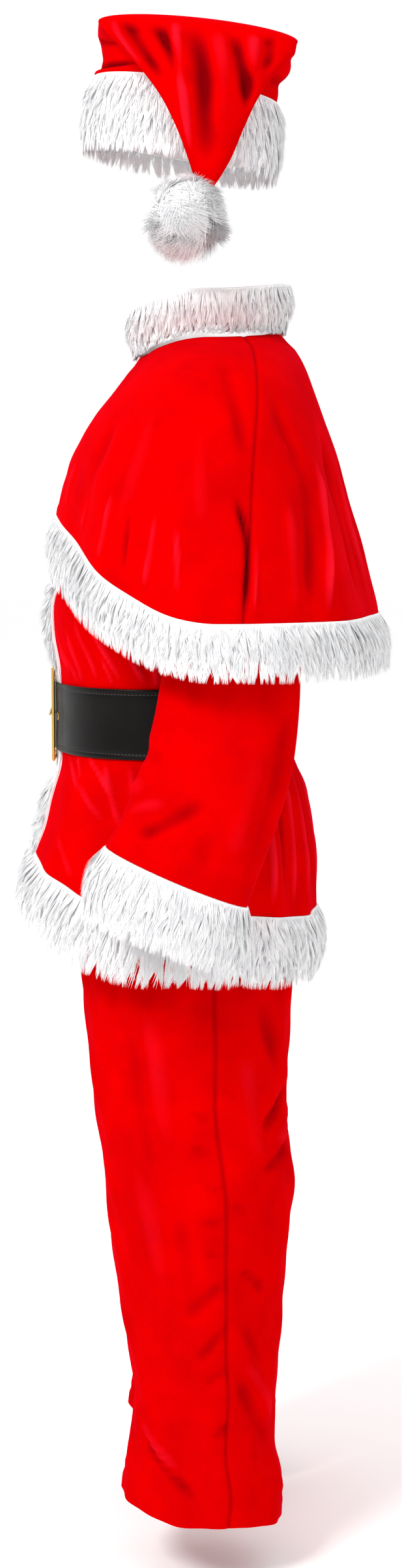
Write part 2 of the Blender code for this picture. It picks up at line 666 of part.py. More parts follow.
def strap_angles():
    """Every column of the coat that the strap crosses, and the strap's own stations."""
    left = coat_front_columns(BELT_ROWS[1])
    right = [-180 - a for a in left[::-1]]
    back = coat_back_columns(BELT_ROWS[1])
    first, last = STRAP_STATIONS[0].angle, STRAP_STATIONS[-1].angle
    coat = right + left[1:] + back + [360 + a for a in right[:-1]]
    own = [s.angle for s in STRAP_STATIONS] + list(STRAP_HOLE_ANGLES)
    hole_start, hole_end = STRAP_HOLE_ANGLES
    crossed = [a for a in coat if first < a < last and abs(a + 90) > STRAP_CLEAR_OF_MIDDLE]
    return sorted(set([a for a in crossed if not hole_start < a < hole_end] + own))


def make_belt(parent):
    """Returns the strap's outer face: a grid of points, and the angle of each column."""
    angles = strap_angles()
    grid = coat_sheet(STRAP_ROWS, lambda height: angles)
    off_front = [abs((a + 270) % 360 - 180) for a in angles]
    over_trim = np.interp(off_front, STRAP_CLEAR_OF_BAND, [PRESSED_PILE + LAYER_GAP, 0.0])
    lift = np.interp(angles, [s.angle for s in STRAP_STATIONS], [s.lift for s in STRAP_STATIONS])
    lift = lift + over_trim + LAYER_GAP
    inner = moved_out(grid, lift[None, :])
    outer = moved_out(grid, lift[None, :] + LEATHER)
    for layer in (inner, outer):
        middle = layer[1:3, 0].mean(axis=0)
        layer[:, 0] = middle + (layer[:, 0] - middle) * STRAP_TIP_SHARE
    hole_row, hole_column = 1, angles.index(STRAP_HOLE_ANGLES[0])
    wall("belt_strap", outer, inner, BLACK_LEATHERETTE, parent, hole=(hole_row, hole_column))
    return outer, angles


def make_eyelet(parent, face, angles):
    """A flat ring on the strap, just left of the buckle."""
    column = angles.index(FRONT_BAND_ANGLES[-1])
    start, end = face[1:3, column].mean(axis=0), face[1:3, column + 1].mean(axis=0)
    along = (end - start) / np.linalg.norm(end - start)
    upward = np.array([0.0, 0.0, 1.0])
    out = np.cross(along, upward)
    middle = start + along * EYELET_RADIUS * 2
    points, faces = [], []
    for height in (LAYER_GAP, LAYER_GAP + EYELET_THICK):
        for radius in (EYELET_HOLE, EYELET_RADIUS):
            for k in range(EYELET_SIDES):
                turn = 2 * math.pi * k / EYELET_SIDES
                spoke = along * math.cos(turn) + upward * math.sin(turn)
                points.append(middle + spoke * radius + out * height)
    for k in range(EYELET_SIDES):
        a, b = k, (k + 1) % EYELET_SIDES
        low_in, low_out = a, EYELET_SIDES + a
        step = b - a
        top = 2 * EYELET_SIDES
        faces.append((low_in, low_in + step, low_out + step, low_out))
        faces.append((top + low_in, top + low_out, top + low_out + step, top + low_in + step))
        faces.append((low_out, low_out + step, top + low_out + step, top + low_out))
        faces.append((low_in + step, low_in, top + low_in, top + low_in + step))
    mesh_object("belt_eyelet", points, faces, GILT_METAL, parent)


def make_buckle(parent, frame_back):
    """A frame and its prong. frame_back is the Y of the frame's back face."""
    half_w, half_h = BUCKLE_WIDTH / 2, BUCKLE_HEIGHT / 2
    middle_z = BELT_ROWS[1]
    outline = [(-1, -1), (1, -1), (1, 1), (-1, 1)]
    points, faces = [], []
    for y in (frame_back - BUCKLE_THICK, frame_back):
        for shrink in (0.0, BUCKLE_BAR):
            points += [
                (sx * (half_w - shrink), y, middle_z + sz * (half_h - shrink))
                for sx, sz in outline
            ]
    for i in range(4):
        j = (i + 1) % 4
        faces.append((i, j, 4 + j, 4 + i))
        faces.append((8 + j, 8 + i, 12 + i, 12 + j))
        faces.append((j, i, 8 + i, 8 + j))
        faces.append((4 + i, 4 + j, 12 + j, 12 + i))
    frame = mesh_object("buckle_frame", points, faces, GILT_METAL, parent)
    bevel = frame.modifiers.new("rounded edges", "BEVEL")
    bevel.width = BUCKLE_ROUNDING
    bevel.segments = 2
    bevel.limit_method = "ANGLE"
    path = [(p.x, frame_back - p.forward, middle_z) for p in PRONG_POINTS]
    rod("buckle_prong", path, PRONG_RADIUS, PRONG_SIDES, GILT_METAL, parent)


def rod(name, path, radius, sides, finish, parent):
    """A round bar along a level path."""
    route = np.array(path)
    along = np.gradient(route, axis=0)
    along /= np.linalg.norm(along, axis=1, keepdims=True)
    upward = np.array([0.0, 0.0, 1.0])
    points, faces = [], []
    for here, ahead in zip(route, along):
        across = np.cross(upward, ahead)
        for k in range(sides):
            turn = 2 * math.pi * k / sides
            points.append(here + radius * (across * math.cos(turn) + upward * math.sin(turn)))
    for r in range(len(route) - 1):
        for k in range(sides):
            a, b = r * sides + k, r * sides + (k + 1) % sides
            faces.append((a, b, b + sides, a + sides))
    faces.append(tuple(range(sides))[::-1])
    faces.append(tuple(range(len(points) - sides, len(points))))
    mesh_object(name, points, faces, finish, parent)


def leg_seam_angle(height):
    share = height / WAISTBAND_ROWS[-1]
    return LEG_SEAM_AT_HEM + (LEG_SEAM_AT_WAIST - LEG_SEAM_AT_HEM) * share


def leg_cut_angle(section):
    """Where a leg's ring meets the middle plane, or its inseam if it stays clear of that."""
    reach = (SEAM_GAP / 2 - section.middle_x) / section.half_width
    inseam = 180 - math.degrees(SEAM_GAP / 2 / section.half_width)
    return min(inseam, math.degrees(math.acos(max(reach, -1.0))))


def leg_front_columns(height):
    section = smooth_row(LEG_SECTIONS, height)
    half_gap = math.degrees(SEAM_GAP / 2 / section.half_width)
    return list(np.linspace(-leg_cut_angle(section), leg_seam_angle(height) - half_gap, LEG_COLUMNS))


def leg_back_columns(height):
    section = smooth_row(LEG_SECTIONS, height)
    half_gap = math.degrees(SEAM_GAP / 2 / section.half_width)
    return list(np.linspace(leg_seam_angle(height) + half_gap, leg_cut_angle(section), LEG_COLUMNS))


def make_trousers(parent):
    for panel, columns_at in (("front", leg_front_columns), ("back", leg_back_columns)):
        sheet = sheet_of(LEG_SECTIONS, [], LEG_ROWS + LEG_SEAT_ROWS, columns_at)
        cloth_wall("trousers_" + panel + "_left", sheet, parent)
        cloth_wall("trousers_" + panel + "_right", mirrored(sheet), parent)
    ring = list(np.linspace(-90, 270, BAND_COLUMNS + 1)[:-1])
    band = sheet_of(LEG_SECTIONS, [], WAISTBAND_ROWS, lambda height: ring)
    cloth_wall("trousers_waistband", band, parent, closed=True, thickness=WAISTBAND_THICK)


def make_hat(parent):
    turns = np.linspace(0, 360, HAT_COLUMNS + 1)[:-1]
    band = [[hoop_point(h, t, False) for t in turns] for h in HAT_BAND_HOOPS]
    trim_wall("hat_band", tube_of(with_halfway_rings(band)), parent, closed=True)
    crown = [[hoop_point(h, t, False) for t in turns] for h in HAT_HOOPS]
    cloth_wall("hat_crown", tube_of(crown), parent, closed=True, tip=True)


def make_pompom(parent):
    """A ball of plush: each face of its core carries one three-sided lock."""
    mesh = bmesh.new()
    bmesh.ops.create_icosphere(mesh, subdivisions=2, radius=POMPOM_CORE)
    faces = list(mesh.faces)
    bmesh.ops.inset_individual(mesh, faces=faces, thickness=LOCK_ROOT_GAP)
    tips = bmesh.ops.extrude_discrete_faces(mesh, faces=faces)["faces"]
    for number, tip in enumerate(tips):
        middle = tip.calc_center_median()
        outward = middle.normalized()
        length = np.interp(math.sin(LOCK_LENGTH_RATE * number), (-1.0, 1.0), LOCK_LENGTH_RANGE)
        reach = (POMPOM_REACH - POMPOM_CORE) * float(length)
        if outward.dot(Vector(POMPOM_TO_TIP)) > POMPOM_SEWN_ON:
            reach = POMPOM_SHORT_LOCK
        out = outward * reach
        out.z -= LOCK_DROOP * reach
        for vertex in tip.verts:
            vertex.co = middle + (vertex.co - middle) * LOCK_TIP_SHARE + out
    data = bpy.data.meshes.new("hat_pompom")
    mesh.to_mesh(data)
    mesh.free()
    made = bpy.data.objects.new("hat_pompom", data)
    bpy.context.scene.collection.objects.link(made)
    data.materials.append(material_of(WHITE_PLUSH))
    made.location = POMPOM_MIDDLE
    made.parent = parent


def main():
    clear_scene()
    wearer = bpy.data.objects.new("neck_to_floor", None)
    bpy.context.scene.collection.objects.link(wearer)
    wearer.location = (0.0, -NECK_BEHIND_ANKLES, -NECK_HEIGHT)
    make_hat(wearer)
    make_pompom(wearer)
    make_cape(wearer)
    make_collar(wearer)
    make_coat(wearer)
    make_sleeves(wearer)
    strap_face, strap_angle_list = make_belt(wearer)
    make_eyelet(wearer, strap_face, strap_angle_list)
    make_buckle(wearer, strap_face[:, -1, 1].min() - LAYER_GAP)
    make_trousers(wearer)


main()
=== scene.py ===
"""The looks of a worn santa suit: velvet, plush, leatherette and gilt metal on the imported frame.

The tables give each garment's rings in metres over the wearer's floor, and each piece is then moved
into the frame, whose origin is the middle of the neck opening. The suit faces -Y, and +X is its left.
"""

import logging
import math
from dataclasses import dataclass, field, replace
from typing import Callable, NamedTuple, Sequence

import bpy
import numpy as np
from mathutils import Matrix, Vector

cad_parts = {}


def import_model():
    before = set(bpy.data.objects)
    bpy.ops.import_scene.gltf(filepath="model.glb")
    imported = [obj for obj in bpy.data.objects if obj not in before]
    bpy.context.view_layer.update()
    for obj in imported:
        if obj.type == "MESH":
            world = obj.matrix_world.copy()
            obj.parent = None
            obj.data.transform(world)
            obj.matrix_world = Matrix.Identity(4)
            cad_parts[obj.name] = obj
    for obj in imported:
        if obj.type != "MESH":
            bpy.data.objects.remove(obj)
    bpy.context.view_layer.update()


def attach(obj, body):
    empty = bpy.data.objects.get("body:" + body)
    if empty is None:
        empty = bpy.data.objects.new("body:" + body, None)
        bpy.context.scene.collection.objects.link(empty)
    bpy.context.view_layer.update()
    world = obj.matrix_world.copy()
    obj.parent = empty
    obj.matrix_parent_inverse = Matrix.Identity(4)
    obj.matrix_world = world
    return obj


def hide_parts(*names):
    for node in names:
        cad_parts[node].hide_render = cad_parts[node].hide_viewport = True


LOG = logging.getLogger("santa_suit")
Array = np.ndarray
Material = bpy.types.Material
Socket = bpy.types.NodeSocket

NECK_TO_FLOOR = 1.55
NECK_BEHIND_ANKLES = 0.025
CLOTH = 0.002
LEATHER = 0.003
SEAM_GAP = 0.0003
LAYER_GAP = 0.0004
SEAM_DIP = 0.0014
SEAM_DIP_WIDTH = 0.003
# How strongly a painted shade darkens the velvet along each seam.
SEAM_PAINTED_SHADE = 0.5
CLOTH_STEP = 0.006
FOLD_FADE = 0.09
# The point attribute that paints shade into velvet troughs and seams and a highlight onto ridges.
PAINTED_FOLD_SHADING_MARK = "painted_fold_shading"


class Section(NamedTuple):
    """One level ring. square is the power of its superellipse, which is 2 for a plain ellipse."""

    side_z: float
    front_z: float
    back_z: float
    half_width: float
    front_y: float
    back_y: float
    middle_x: float
    square: float


class Hoop(NamedTuple):
    """One ring of a bent tube, spanned by the diameters in-out and front-back."""

    in_x: float
    in_z: float
    out_x: float
    out_z: float
    front_y: float
    back_y: float
    front_rise: float


class Fold(NamedTuple):
    """A large soft ridge or trough up a wall; angle and width are degrees round the ring."""

    angle: float
    width: float
    depth: float
    low_z: float
    high_z: float


class Crease(NamedTuple):
    """A crease along a bent line on the wall.

    Its ends and the point that it bends toward are an angle and a row, which is a height in metres
    on a ringed garment and a hoop's number on a tube. width and depth are millimetres, and a
    crease of depth over 0 stands out. lean makes one flank steeper.
    """

    start_angle: float
    start_row: float
    bend_angle: float
    bend_row: float
    end_angle: float
    end_row: float
    width: float
    depth: float
    lean: float = 0.0


COAT_SECTIONS = (
    Section(0.775, 0.848, 0.750, 0.241, -0.234, 0.141, 0.0, 2.3),
    Section(0.860, 0.912, 0.833, 0.235, -0.214, 0.144, 0.0, 2.3),
    Section(0.920, 0.950, 0.905, 0.229, -0.199, 0.140, 0.0, 2.3),
    Section(0.985, 0.992, 0.980, 0.218, -0.189, 0.131, 0.0, 2.3),
    Section(1.022, 1.022, 1.018, 0.207, -0.181, 0.121, 0.0, 2.3),
    Section(1.042, 1.040, 1.038, 0.202, -0.180, 0.117, 0.0, 2.3),
    Section(1.085, 1.083, 1.081, 0.199, -0.179, 0.113, 0.0, 2.3),
    Section(1.128, 1.126, 1.124, 0.202, -0.180, 0.116, 0.0, 2.3),
    Section(1.150, 1.149, 1.147, 0.206, -0.181, 0.119, 0.0, 2.3),
    Section(1.190, 1.190, 1.190, 0.212, -0.188, 0.126, 0.0, 2.3),
    Section(1.230, 1.230, 1.230, 0.217, -0.187, 0.132, 0.0, 2.3),
    Section(1.264, 1.264, 1.264, 0.219, -0.172, 0.137, 0.0, 2.3),
    Section(1.300, 1.300, 1.300, 0.221, -0.166, 0.141, 0.0, 2.3),
    Section(1.390, 1.390, 1.390, 0.222, -0.152, 0.147, 0.0, 2.3),
    Section(1.450, 1.430, 1.450, 0.218, -0.134, 0.140, 0.0, 2.3),
    Section(1.480, 1.448, 1.482, 0.209, -0.118, 0.128, 0.0, 2.2),
    Section(1.513, 1.472, 1.510, 0.174, -0.100, 0.118, 0.0, 2.1),
    Section(1.539, 1.500, 1.539, 0.130, -0.086, 0.107, 0.0, 2.0),
    Section(1.551, 1.520, 1.558, 0.088, -0.074, 0.097, 0.0, 2.0),
)
CAPE_SECTIONS = (
    Section(1.150, 1.262, 1.142, 0.366, -0.186, 0.229, 0.0, 2.0),
    Section(1.215, 1.338, 1.213, 0.358, -0.183, 0.222, 0.0, 2.0),
    Section(1.260, 1.354, 1.262, 0.350, -0.180, 0.211, 0.0, 2.0),
    Section(1.320, 1.376, 1.312, 0.336, -0.175, 0.197, 0.0, 2.0),
    Section(1.380, 1.402, 1.370, 0.316, -0.166, 0.180, 0.0, 2.0),
    Section(1.440, 1.432, 1.425, 0.286, -0.152, 0.166, 0.0, 2.0),
    Section(1.490, 1.462, 1.475, 0.242, -0.132, 0.150, 0.0, 2.0),
    Section(1.520, 1.487, 1.515, 0.190, -0.112, 0.135, 0.0, 2.0),
    Section(1.542, 1.512, 1.543, 0.130, -0.094, 0.119, 0.0, 2.0),
    Section(1.554, 1.530, 1.562, 0.088, -0.080, 0.101, 0.0, 2.0),
    Section(1.585, 1.562, 1.597, 0.091, -0.084, 0.105, 0.0, 2.0),
    Section(1.612, 1.590, 1.624, 0.098, -0.090, 0.112, 0.0, 2.0),
)
LEG_SECTIONS = (
    Section(0.085, 0.102, 0.066, 0.090, -0.101, 0.103, 0.143, 2.0),
    Section(0.120, 0.134, 0.110, 0.090, -0.096, 0.106, 0.142, 2.0),
    Section(0.170, 0.178, 0.166, 0.089, -0.089, 0.094, 0.140, 2.0),
    Section(0.240, 0.240, 0.240, 0.090, -0.087, 0.096, 0.137, 2.0),
    Section(0.340, 0.340, 0.340, 0.094, -0.101, 0.103, 0.133, 2.0),
    Section(0.440, 0.440, 0.440, 0.098, -0.115, 0.113, 0.128, 2.0),
    Section(0.500, 0.500, 0.500, 0.100, -0.122, 0.117, 0.125, 2.0),
    Section(0.590, 0.590, 0.590, 0.102, -0.133, 0.107, 0.121, 2.0),
    Section(0.680, 0.680, 0.680, 0.104, -0.142, 0.112, 0.116, 2.0),
    Section(0.760, 0.760, 0.760, 0.107, -0.150, 0.117, 0.112, 2.0),
    Section(0.800, 0.800, 0.800, 0.109, -0.153, 0.120, 0.110, 2.0),
    Section(0.860, 0.860, 0.860, 0.121, -0.158, 0.122, 0.094, 2.0),
    Section(0.930, 0.930, 0.930, 0.146, -0.166, 0.120, 0.062, 2.0),
    Section(0.990, 0.990, 0.990, 0.172, -0.172, 0.114, 0.030, 2.0),
    Section(1.050, 1.050, 1.050, 0.1964, -0.1764, 0.1104, 0.0, 2.0),
    Section(1.090, 1.090, 1.090, 0.1964, -0.1764, 0.1104, 0.0, 2.0),
)
HAT_BAND_HOOPS = (
    Hoop(0.098, 1.7690, -0.098, 1.7690, -0.142, 0.088, 0.038),
    Hoop(0.098, 1.8155, -0.098, 1.8155, -0.138, 0.092, 0.036),
    Hoop(0.098, 1.8620, -0.098, 1.8620, -0.133, 0.096, 0.034),
)
HAT_HOOPS = (
    Hoop(0.098, 1.8626, -0.098, 1.8626, -0.133, 0.096, 0.034),
    Hoop(0.0985, 1.868, -0.0985, 1.868, -0.1325, 0.0955, 0.034),
    Hoop(0.101, 1.880, -0.104, 1.885, -0.123, 0.101, 0.030),
    Hoop(0.102, 1.888, -0.102, 1.912, -0.125, 0.112, 0.027),
    Hoop(0.104, 1.892, -0.080, 1.930, -0.128, 0.116, 0.025),
    Hoop(0.106, 1.895, -0.030, 1.940, -0.127, 0.117, 0.024),
    Hoop(0.109, 1.897, 0.035, 1.940, -0.125, 0.117, 0.024),
    Hoop(0.112, 1.897, 0.090, 1.934, -0.124, 0.117, 0.024),
    Hoop(0.115, 1.896, 0.126, 1.924, -0.122, 0.115, 0.024),
    Hoop(0.118, 1.891, 0.142, 1.904, -0.114, 0.110, 0.024),
    Hoop(0.119, 1.866, 0.148, 1.870, -0.080, 0.090, 0.014),
    Hoop(0.119, 1.833, 0.147, 1.835, -0.050, 0.068, 0.006),
    Hoop(0.119, 1.797, 0.145, 1.798, -0.030, 0.051, 0.003),
    Hoop(0.121, 1.765, 0.142, 1.766, -0.017, 0.038, 0.0),
    Hoop(0.124, 1.742, 0.140, 1.743, -0.009, 0.025, 0.0),
    Hoop(0.128, 1.728, 0.138, 1.728, 0.001, 0.015, 0.0),
)
SLEEVE_HOOPS = (
    Hoop(0.2315, 1.299, 0.233, 1.470, -0.088, 0.108, 0.0),
    Hoop(0.2340, 1.290, 0.258, 1.440, -0.084, 0.112, 0.0),
    Hoop(0.2360, 1.270, 0.287, 1.378, -0.074, 0.112, 0.0),
    Hoop(0.2380, 1.235, 0.307, 1.300, -0.060, 0.114, 0.0),
    Hoop(0.2400, 1.180, 0.324, 1.206, -0.043, 0.116, 0.0),
    Hoop(0.2430, 1.115, 0.340, 1.122, -0.051, 0.115, 0.006),
    Hoop(0.2490, 1.050, 0.353, 1.052, -0.065, 0.106, 0.024),
    Hoop(0.2560, 0.995, 0.363, 0.995, -0.080, 0.087, 0.046),
    Hoop(0.2620, 0.955, 0.370, 0.955, -0.094, 0.069, 0.060),
    Hoop(0.2675, 0.920, 0.376, 0.920, -0.111, 0.054, 0.071),
    Hoop(0.2700, 0.880, 0.381, 0.880, -0.124, 0.045, 0.070),
    Hoop(0.2720, 0.842, 0.385, 0.842, -0.130, 0.035, 0.066),
)
COAT_FOLDS = (
    Fold(-56, 7, 0.004, 0.70, 1.02),
    Fold(-33, 8, 0.005, 0.70, 1.02),
    Fold(-11, 7, 0.004, 0.70, 1.02),
    Fold(16, 7, 0.006, 0.70, 1.02),
    Fold(41, 7, 0.008, 0.70, 1.02),
    Fold(65, 7, 0.006, 0.70, 1.02),
    Fold(90, 7, 0.007, 0.70, 1.02),
    Fold(115, 7, 0.006, 0.70, 1.02),
    Fold(139, 7, 0.008, 0.70, 1.02),
    Fold(164, 7, 0.005, 0.70, 1.02),
    Fold(-44, 7, 0.004, 1.14, 1.30),
    Fold(-22, 7, 0.004, 1.14, 1.30),
    Fold(41, 7, 0.004, 1.14, 1.30),
    Fold(65, 7, 0.004, 1.14, 1.30),
    Fold(115, 7, 0.004, 1.14, 1.30),
    Fold(139, 7, 0.004, 1.14, 1.30),
)
CAPE_FOLDS = (
    Fold(-60, 8, -0.004, 1.05, 1.42),
    Fold(-40, 9, 0.006, 1.05, 1.44),
    Fold(-15, 9, 0.005, 1.05, 1.42),
    Fold(45, 9, 0.009, 1.05, 1.47),
    Fold(68, 8, -0.005, 1.05, 1.42),
    Fold(90, 8, 0.006, 1.05, 1.47),
    Fold(112, 8, -0.006, 1.05, 1.43),
    Fold(135, 9, 0.009, 1.05, 1.47),
)


def unit(vectors: Array) -> Array:
    """The vectors, each scaled to a length of one."""
    return vectors / np.linalg.norm(vectors, axis=-1, keepdims=True)


def smooth_rows(table: Array, keys: Array, at: Array) -> Array:
    """Rows between a table's rows, on a smooth curve through them.

    Args:
        table: one row of values for each key.
        keys: the rising key of each row.
        at: the keys to read the curve at.

    Returns:
        One row of values for each key in at.
    """
    i = np.clip(np.searchsorted(keys, at) - 1, 0, len(keys) - 2)
    before, after = np.maximum(i - 1, 0), np.minimum(i + 2, len(keys) - 1)
    span = (keys[i + 1] - keys[i])[:, None]
    t = (at - keys[i])[:, None] / span
    low, high = table[i], table[i + 1]
    slope_low = (high - table[before]) / (keys[i + 1] - keys[before])[:, None]
    slope_high = (table[after] - low) / (keys[after] - keys[i])[:, None]
    return (
        (2 * t**3 - 3 * t**2 + 1) * low
        + (t**3 - 2 * t**2 + t) * span * slope_low
        + (3 * t**2 - 2 * t**3) * high
        + (t**3 - t**2) * span * slope_high
    )


def path_length(points: Array) -> Array:
    """How far along its path each point lies, from the first."""
    return np.concatenate([[0.0], np.cumsum(np.linalg.norm(np.diff(points, axis=0), axis=-1))])


def steps(start: float, end: float, step: float) -> Array:
    """Evenly spaced values from start to end, about a step apart."""
    return np.linspace(start, end, max(int(round(abs(end - start) / step)), 1) + 1)


@dataclass
class Sheet:
    """A grid of points on a wall's outer face, its rows going up the wall.

    Attributes:
        points: rows x columns x 3, in metres.
        normals: the direction out of the wall at each point.
        angles: the angle of each point round its row, in degrees.
        rows: each row's height in metres, or its place along the hoops of a tube.
        up: how far up the whole garment's wall each row lies, in metres.
        degree: how many metres of wall one degree covers in each row.
        closed: whether the last column joins the first.
        pressed: how sharply creases stand out of the wall at each point, or in where it is
            negative: their height over their width.
    """

    points: Array
    normals: Array
    angles: Array
    rows: Array
    up: Array
    degree: Array
    closed: bool = False
    # pressed sets the velvet's painted shade in troughs and seams and its painted highlight on ridges.
    pressed: Array | float = 0.0

    def moved_out(self, distance: float | Array) -> Array:
        """The points moved out of the wall by one distance, or one for each point."""
        reach = np.broadcast_to(np.asarray(distance, float), self.points.shape[:2])
        return self.points + self.normals * reach[:, :, None]

    def lifted(self, distance: float | Array) -> "Sheet":
        """The same sheet moved out of the wall."""
        return replace(self, points=self.moved_out(distance))

    def mirrored(self) -> "Sheet":
        """The same sheet on the other side of X = 0."""
        flip = np.array([-1.0, 1.0, 1.0])
        return replace(
            self,
            points=self.points[:, ::-1] * flip,
            normals=self.normals[:, ::-1] * flip,
            angles=self.angles[:, ::-1],
            pressed=np.broadcast_to(self.pressed, self.angles.shape)[:, ::-1],
        )

    def above(self, row: int) -> "Sheet":
        """The rows from that one up."""
        return replace(
            self,
            points=self.points[row:],
            normals=self.normals[row:],
            angles=self.angles[row:],
            rows=self.rows[row:],
            up=self.up[row:],
            degree=self.degree[row:],
        )

    def along(self) -> Array:
        """How far each row lies from the first, in metres."""
        return path_length(self.points.mean(axis=1) if self.closed else self.points[:, 0])

    def round(self) -> Array:
        """How far each column lies from the first, in metres, halfway up the sheet."""
        middle = self.points[len(self.points) // 2]
        if self.closed:
            middle = np.concatenate([middle, middle[:1]])
        return path_length(middle)

    def creased(self, creases: Sequence[Crease]) -> "Sheet":
        """The same sheet with creases pressed into it or raised from it, and the marks that paint their
        shade and highlight.
        """
        lift = np.zeros(self.points.shape[:2])
        pressed = lift.copy()
        for number, crease in enumerate(creases):
            one = crease_lift(crease, number, self)
            lift += one
            # Each crease's height over its width also sets the painted shade in its trough and the
            # painted highlight on its ridge.
            pressed += one * 1000 / crease.width
        return replace(self, points=self.moved_out(lift), pressed=pressed)

    def seamed(self) -> "Sheet":
        """The same sheet with its side edges drawn in, as stitches draw a seam in, and a painted shade
        marked along them.
        """
        gaps = np.linalg.norm(np.diff(self.points, axis=1), axis=-1)
        start = np.concatenate([np.zeros((len(gaps), 1)), np.cumsum(gaps, axis=1)], axis=1)
        edge = np.minimum(start, start[:, -1:] - start)
        drawn = np.exp(-((edge / SEAM_DIP_WIDTH) ** 2))
        # The drawn-in edges also get a painted shade on the velvet.
        return replace(self.lifted(-SEAM_DIP * drawn), pressed=self.pressed - SEAM_PAINTED_SHADE * drawn)


CREASE_PARTS = 14
CREASE_FADE = 0.3
CREASE_REACH = 3.0
CREASE_WAVER = 0.22


def crease_lift(crease: Crease, number: int, sheet: Sheet) -> Array:
    """How far one crease moves each point of a sheet out of the wall.

    Args:
        crease: the crease.
        number: its number, which varies how its depth wavers.
        sheet: the sheet.

    Returns:
        A distance in metres for each point.
    """
    t = np.linspace(0, 1, CREASE_PARTS + 1)
    bends = ((1 - t) ** 2, 2 * t * (1 - t), t**2)
    angles = (crease.start_angle, crease.bend_angle, crease.end_angle)
    rows = (crease.start_row, crease.bend_row, crease.end_row)
    line_angle = sum(bend * angle for bend, angle in zip(bends, angles))
    line_up = np.interp(sum(bend * row for bend, row in zip(bends, rows)), sheet.rows, sheet.up)
    degree = sheet.degree[:, None]
    best = np.full(sheet.angles.shape, 1e3)
    side, place = np.zeros(best.shape), np.zeros(best.shape)
    for k in range(CREASE_PARTS):
        x0 = ((line_angle[k] - sheet.angles + 180) % 360 - 180) * degree
        y0 = np.broadcast_to((line_up[k] - sheet.up)[:, None], best.shape)
        dx, dy = (line_angle[k + 1] - line_angle[k]) * degree, line_up[k + 1] - line_up[k]
        share = np.clip(-(x0 * dx + y0 * dy) / np.maximum(dx**2 + dy**2, 1e-12), 0, 1)
        near_x, near_y = x0 + share * dx, y0 + share * dy
        distance = np.hypot(near_x, near_y)
        nearer = distance < best
        best = np.where(nearer, distance, best)
        side = np.where(nearer, np.sign(near_x * dy - near_y * dx), side)
        place = np.where(nearer, (k + share) / CREASE_PARTS, place)
    across = np.clip(best * 1000 / crease.width, 0, CREASE_REACH)
    shape = np.exp(-(across**2)) * (1 + crease.lean * side * across)
    ends = np.clip(np.minimum(place, 1 - place) / CREASE_FADE, 0, 1)
    ends = ends**2 * (3 - 2 * ends)
    wavering = 1 + CREASE_WAVER * np.sin(9 * place + 2.4 * number)
    return crease.depth / 1000 * shape * ends * wavering


class SoftWave(NamedTuple):
    """A slight wave of the cloth: its turns round the wall and up it, and where it starts."""

    round: float
    up: float
    start: float


SOFT_WAVES = (SoftWave(5, 23, 0), SoftWave(9, -41, 2), SoftWave(14, 61, 0))


@dataclass(frozen=True)
class RingForm:
    """A garment's form through level rings: angle 0 is left, 90 back and -90 front."""

    sections: tuple[Section, ...]
    folds: tuple[Fold, ...] = ()
    softness: float = 0.0012

    def section_rows(self, heights: Array) -> Array:
        """The eight values of the ring at each height."""
        table = np.array(self.sections)
        return smooth_rows(table, table[:, 0], heights)

    def lift(self, heights: Array, angles: Array) -> Array:
        """How far the folds and the cloth's own softness push the wall out."""
        total = np.zeros(angles.shape)
        both = self.folds + tuple(f._replace(angle=180 - f.angle) for f in self.folds if f.angle < 0)
        for fold in both:
            away = (angles - fold.angle + 180) % 360 - 180
            rise = np.clip((fold.high_z - heights) / FOLD_FADE, 0, 1)
            rise = rise * np.clip((heights - fold.low_z) / FOLD_FADE, 0, 1)
            total = total + fold.depth * rise[:, None] * np.exp(-((away / fold.width) ** 2))
        turn, up = np.radians(angles), heights[:, None]
        soft = sum(np.sin(w.round * turn + w.up * up + w.start) for w in SOFT_WAVES)
        return total + self.softness / len(SOFT_WAVES) * soft

    def points(self, heights: Array, angles: Array) -> Array:
        """The wall's points at those heights and angles."""
        rows = self.section_rows(heights)
        side_z, front_z, back_z, half_width, front_y, back_y, middle_x, square = (
            rows[:, k : k + 1] for k in range(8)
        )
        turn = np.radians(angles)
        c, s = np.cos(turn), np.sin(turn)
        lift = self.lift(heights, angles)
        power = 2 / square
        x = middle_x + (half_width + lift) * np.sign(c) * np.abs(c) ** power
        y = (front_y + back_y) / 2
        y = y + ((back_y - front_y) / 2 + lift) * np.sign(s) * np.abs(s) ** power
        z = side_z + (np.where(s > 0, back_z, front_z) - side_z) * s * s
        return np.stack([x, y, z], axis=-1)

    def sheet(self, heights: Array, columns_at: Callable[[float], Array]) -> Sheet:
        """The sheet at those heights.

        Args:
            heights: the side heights of the rows.
            columns_at: gives the angles of the row at one height.

        Returns:
            The sheet, in metres over the floor.
        """
        angles = np.array([columns_at(h) for h in heights])
        turn, rise = 0.5, 0.002
        across = self.points(heights, angles + turn) - self.points(heights, angles - turn)
        upward = self.points(heights + rise, angles) - self.points(heights - rise, angles)
        normals = unit(np.cross(across, upward))
        rings = self.section_rows(heights)
        radius = rings[:, 3] / 2 + (rings[:, 5] - rings[:, 4]) / 4
        points = self.points(heights, angles)
        return Sheet(points, normals, angles, heights, heights, np.radians(radius))


def hoop_rings(hoops: Sequence[Hoop], turns: Array, toward_front: bool) -> Array:
    """The rings of a bent tube: turn 0 is the inner side, and 90 the front or the back."""
    in_x, in_z, out_x, out_z, front_y, back_y, front_rise = (
        np.array(hoops)[:, k : k + 1] for k in range(7)
    )
    c, s = np.cos(np.radians(turns)), np.sin(np.radians(turns))
    side = 1 if toward_front else -1
    x = (in_x + out_x) / 2 + (in_x - out_x) / 2 * c
    y = (front_y + back_y) / 2 + side * (front_y - back_y) / 2 * s
    z = (in_z + out_z) / 2 + (in_z - out_z) / 2 * c + side * front_rise / 2 * s
    return np.stack([x, y, z], axis=-1)


